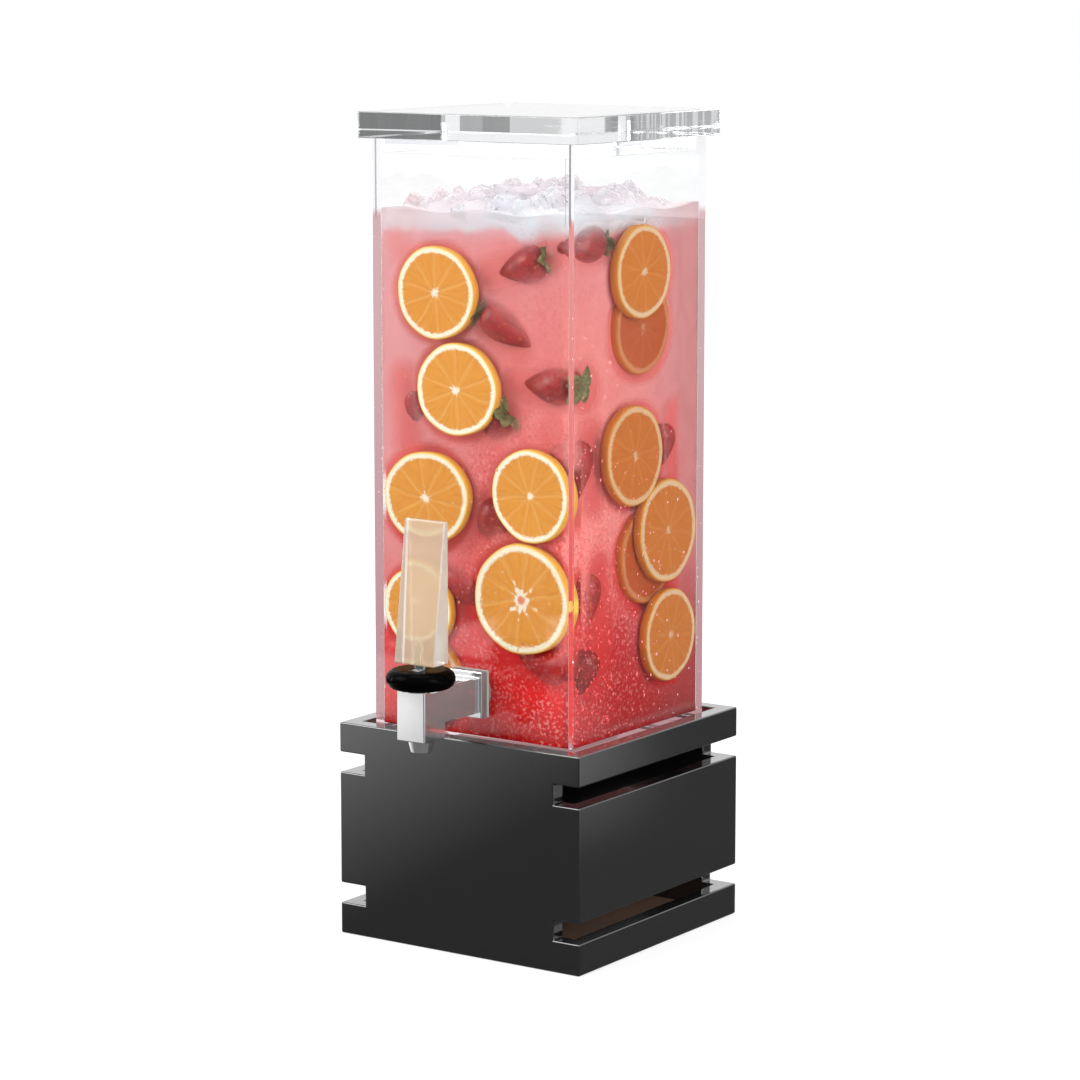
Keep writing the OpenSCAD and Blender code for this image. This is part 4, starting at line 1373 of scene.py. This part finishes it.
lit = tree.value("BsdfDiffuse", 0, {"Color": (0.8, 0.8, 0.8, 1)})
shaded = tree.value("BsdfDiffuse", 0, {"Color": (0.4, 0.4, 0.4, 1)})
own_light = tree.value("Emission", 0, {"Color": WHITE, "Strength": far.step(0.25, 1.4) * 0.3 + 0.66})
white = tree.value("AddShader", 0, {0: shaded, 1: own_light})
in_gloss = tree.value("Emission", 0, {"Color": WHITE, "Strength": level})
shown = tree.value("MixShader", 0, {0: tree.seen_directly(), 1: lit, 2: white})
either = tree.value("MixShader", 0, {0: tree.mirrored(), 1: shown, 2: in_gloss})
tree.add("OutputMaterial", {"Surface": either})
floor_points = np.array([[-1, -1, 0], [1, -1, 0], [1, 1, 0], [-1, 1, 0]], float) * FLOOR_HALF
studio_floor = new_piece("studio_floor", floor_points - [0, 0, FLOOR_DROP], [[0, 1, 2, 3]], floor_white,
                         smooth=False)
print("floor:", 2 * FLOOR_HALF, "m wide")


# %% [markdown]
# ## World
# The world is white to the camera. In reflections and through clear pieces a low band of it is grey in
# places: blocks behind the lid, which give its edge separate tones, a grey side at the right, and panels
# in front, which give chrome and the lid something to show. As a light it is weaker.

# %% World
WORLD_LIGHT = 0.55
LID_LOW, LID_HIGH = 0.5917, 0.6528
SIDE_DARK, FRONT_DARK = 0.8, 0.45
PANELS = 30.0
# Position across the lid's edge, seen as an angle from LID_LOW to LID_HIGH, and darkness from there on
lid_blocks = [(0.0, 0.0), (0.006, 0.55), (0.136, 0.66), (0.287, 0.3), (0.567, 0.0)]
world = bpy.data.worlds.new("studio_world")
bpy.context.scene.world = world
world.use_nodes = True
tree = Tree(world.node_tree)
x, y, z = tree.axes(tree.value("TexCoord", "Generated"))
band = z.step(-0.056, -0.050) * z.step(0.3, 0.12)
azimuth = tree.maths("ARCTAN2", y, x)
across_lid = abs(azimuth - math.pi / 2).share(LID_LOW, LID_HIGH)
block_stops = [(position, (dark, dark, dark, 1)) for position, dark in lid_blocks]
block_grey = tree.ramp(across_lid, block_stops, "CONSTANT") * z.step(0.0, -0.02)
back_grey = (x.step(0.0, 0.4) * SIDE_DARK).or_more(block_grey) * y.step(0.3, 0.6)
panels = tree.value("TexNoise", "Fac", {"W": azimuth * PANELS, "Scale": 1.0, "Detail": 1.0},
                    noise_dimensions="1D")
front_grey = y.step(0.0, -0.4) * FRONT_DARK * (panels.step(0.45, 0.5) * 0.65 + 0.4)
dark = (back_grey + front_grey) * band
seen = 1.0 - dark * tree.reflected_or_bent()
strength = (1.0 - tree.seen_directly()) * (WORLD_LIGHT - 1.0) + seen
background = tree.value("Background", 0, {"Color": WHITE, "Strength": strength})
tree.add("OutputWorld", {"Surface": background})
print("world light:", WORLD_LIGHT)


# %% [markdown]
# ## Lamps
# A large soft lamp stands close on the left, one on the right and one above. A narrow strip on the left
# and a small lamp on the right make the glints on the tap and the handle.

# %% Lamps
def soft_lamp(name, place, target, size, watts):
    """A rectangular area lamp that looks from place to target, and that the camera doesn't see."""
    data = bpy.data.lights.new(name, "AREA")
    data.shape = "RECTANGLE"
    data.size, data.size_y = size
    data.energy = watts
    lamp = bpy.data.objects.new(name, data)
    lamp.location = place
    lamp.rotation_euler = (Vector(target) - Vector(place)).to_track_quat("-Z", "Y").to_euler()
    lamp.visible_camera = False
    bpy.context.scene.collection.objects.link(lamp)


soft_lamp("key_lamp", (-0.85, -0.85, 1.05), (0, 0, 0.2), (0.8, 0.8), 11)
soft_lamp("side_lamp", (1.35, -0.35, 0.95), (0, 0, 0.25), (0.6, 0.8), 11)
soft_lamp("top_lamp", (0.0, 0.0, 1.7), (0, 0, 0.2), (1.2, 1.2), 12)
soft_lamp("left_strip", (-1.2, -0.4, 0.35), (0, -0.1, 0.25), (0.08, 0.5), 1.5)
soft_lamp("right_glint", (1.2, -0.1, 0.3), (0, -0.14, 0.2), (0.06, 0.09), 0.9)
print("lamps:", [lamp.name for lamp in bpy.data.lights])


# %% [markdown]
# ## Camera
# The camera stands in front of the right front corner, a little above the middle, with a long lens. Its
# place was fitted to the corners of the base, the container and the lid.

# %% Camera
CAMERA_PLACE = (1.40464, -2.04627, 0.67237)
CAMERA_WAY = (-0.55884, 0.81394, -0.15873)
SENSOR_MM = 36
LENS_MM = 120.814
camera_data = bpy.data.cameras.new("camera")
camera_data.sensor_width = SENSOR_MM
camera_data.lens = LENS_MM
camera = bpy.data.objects.new("camera", camera_data)
camera.location = CAMERA_PLACE
camera.rotation_euler = Vector(CAMERA_WAY).to_track_quat("-Z", "Y").to_euler()
bpy.context.scene.collection.objects.link(camera)
bpy.context.scene.camera = camera
bpy.context.scene.view_settings.view_transform = "Standard"
print("camera at", CAMERA_PLACE)
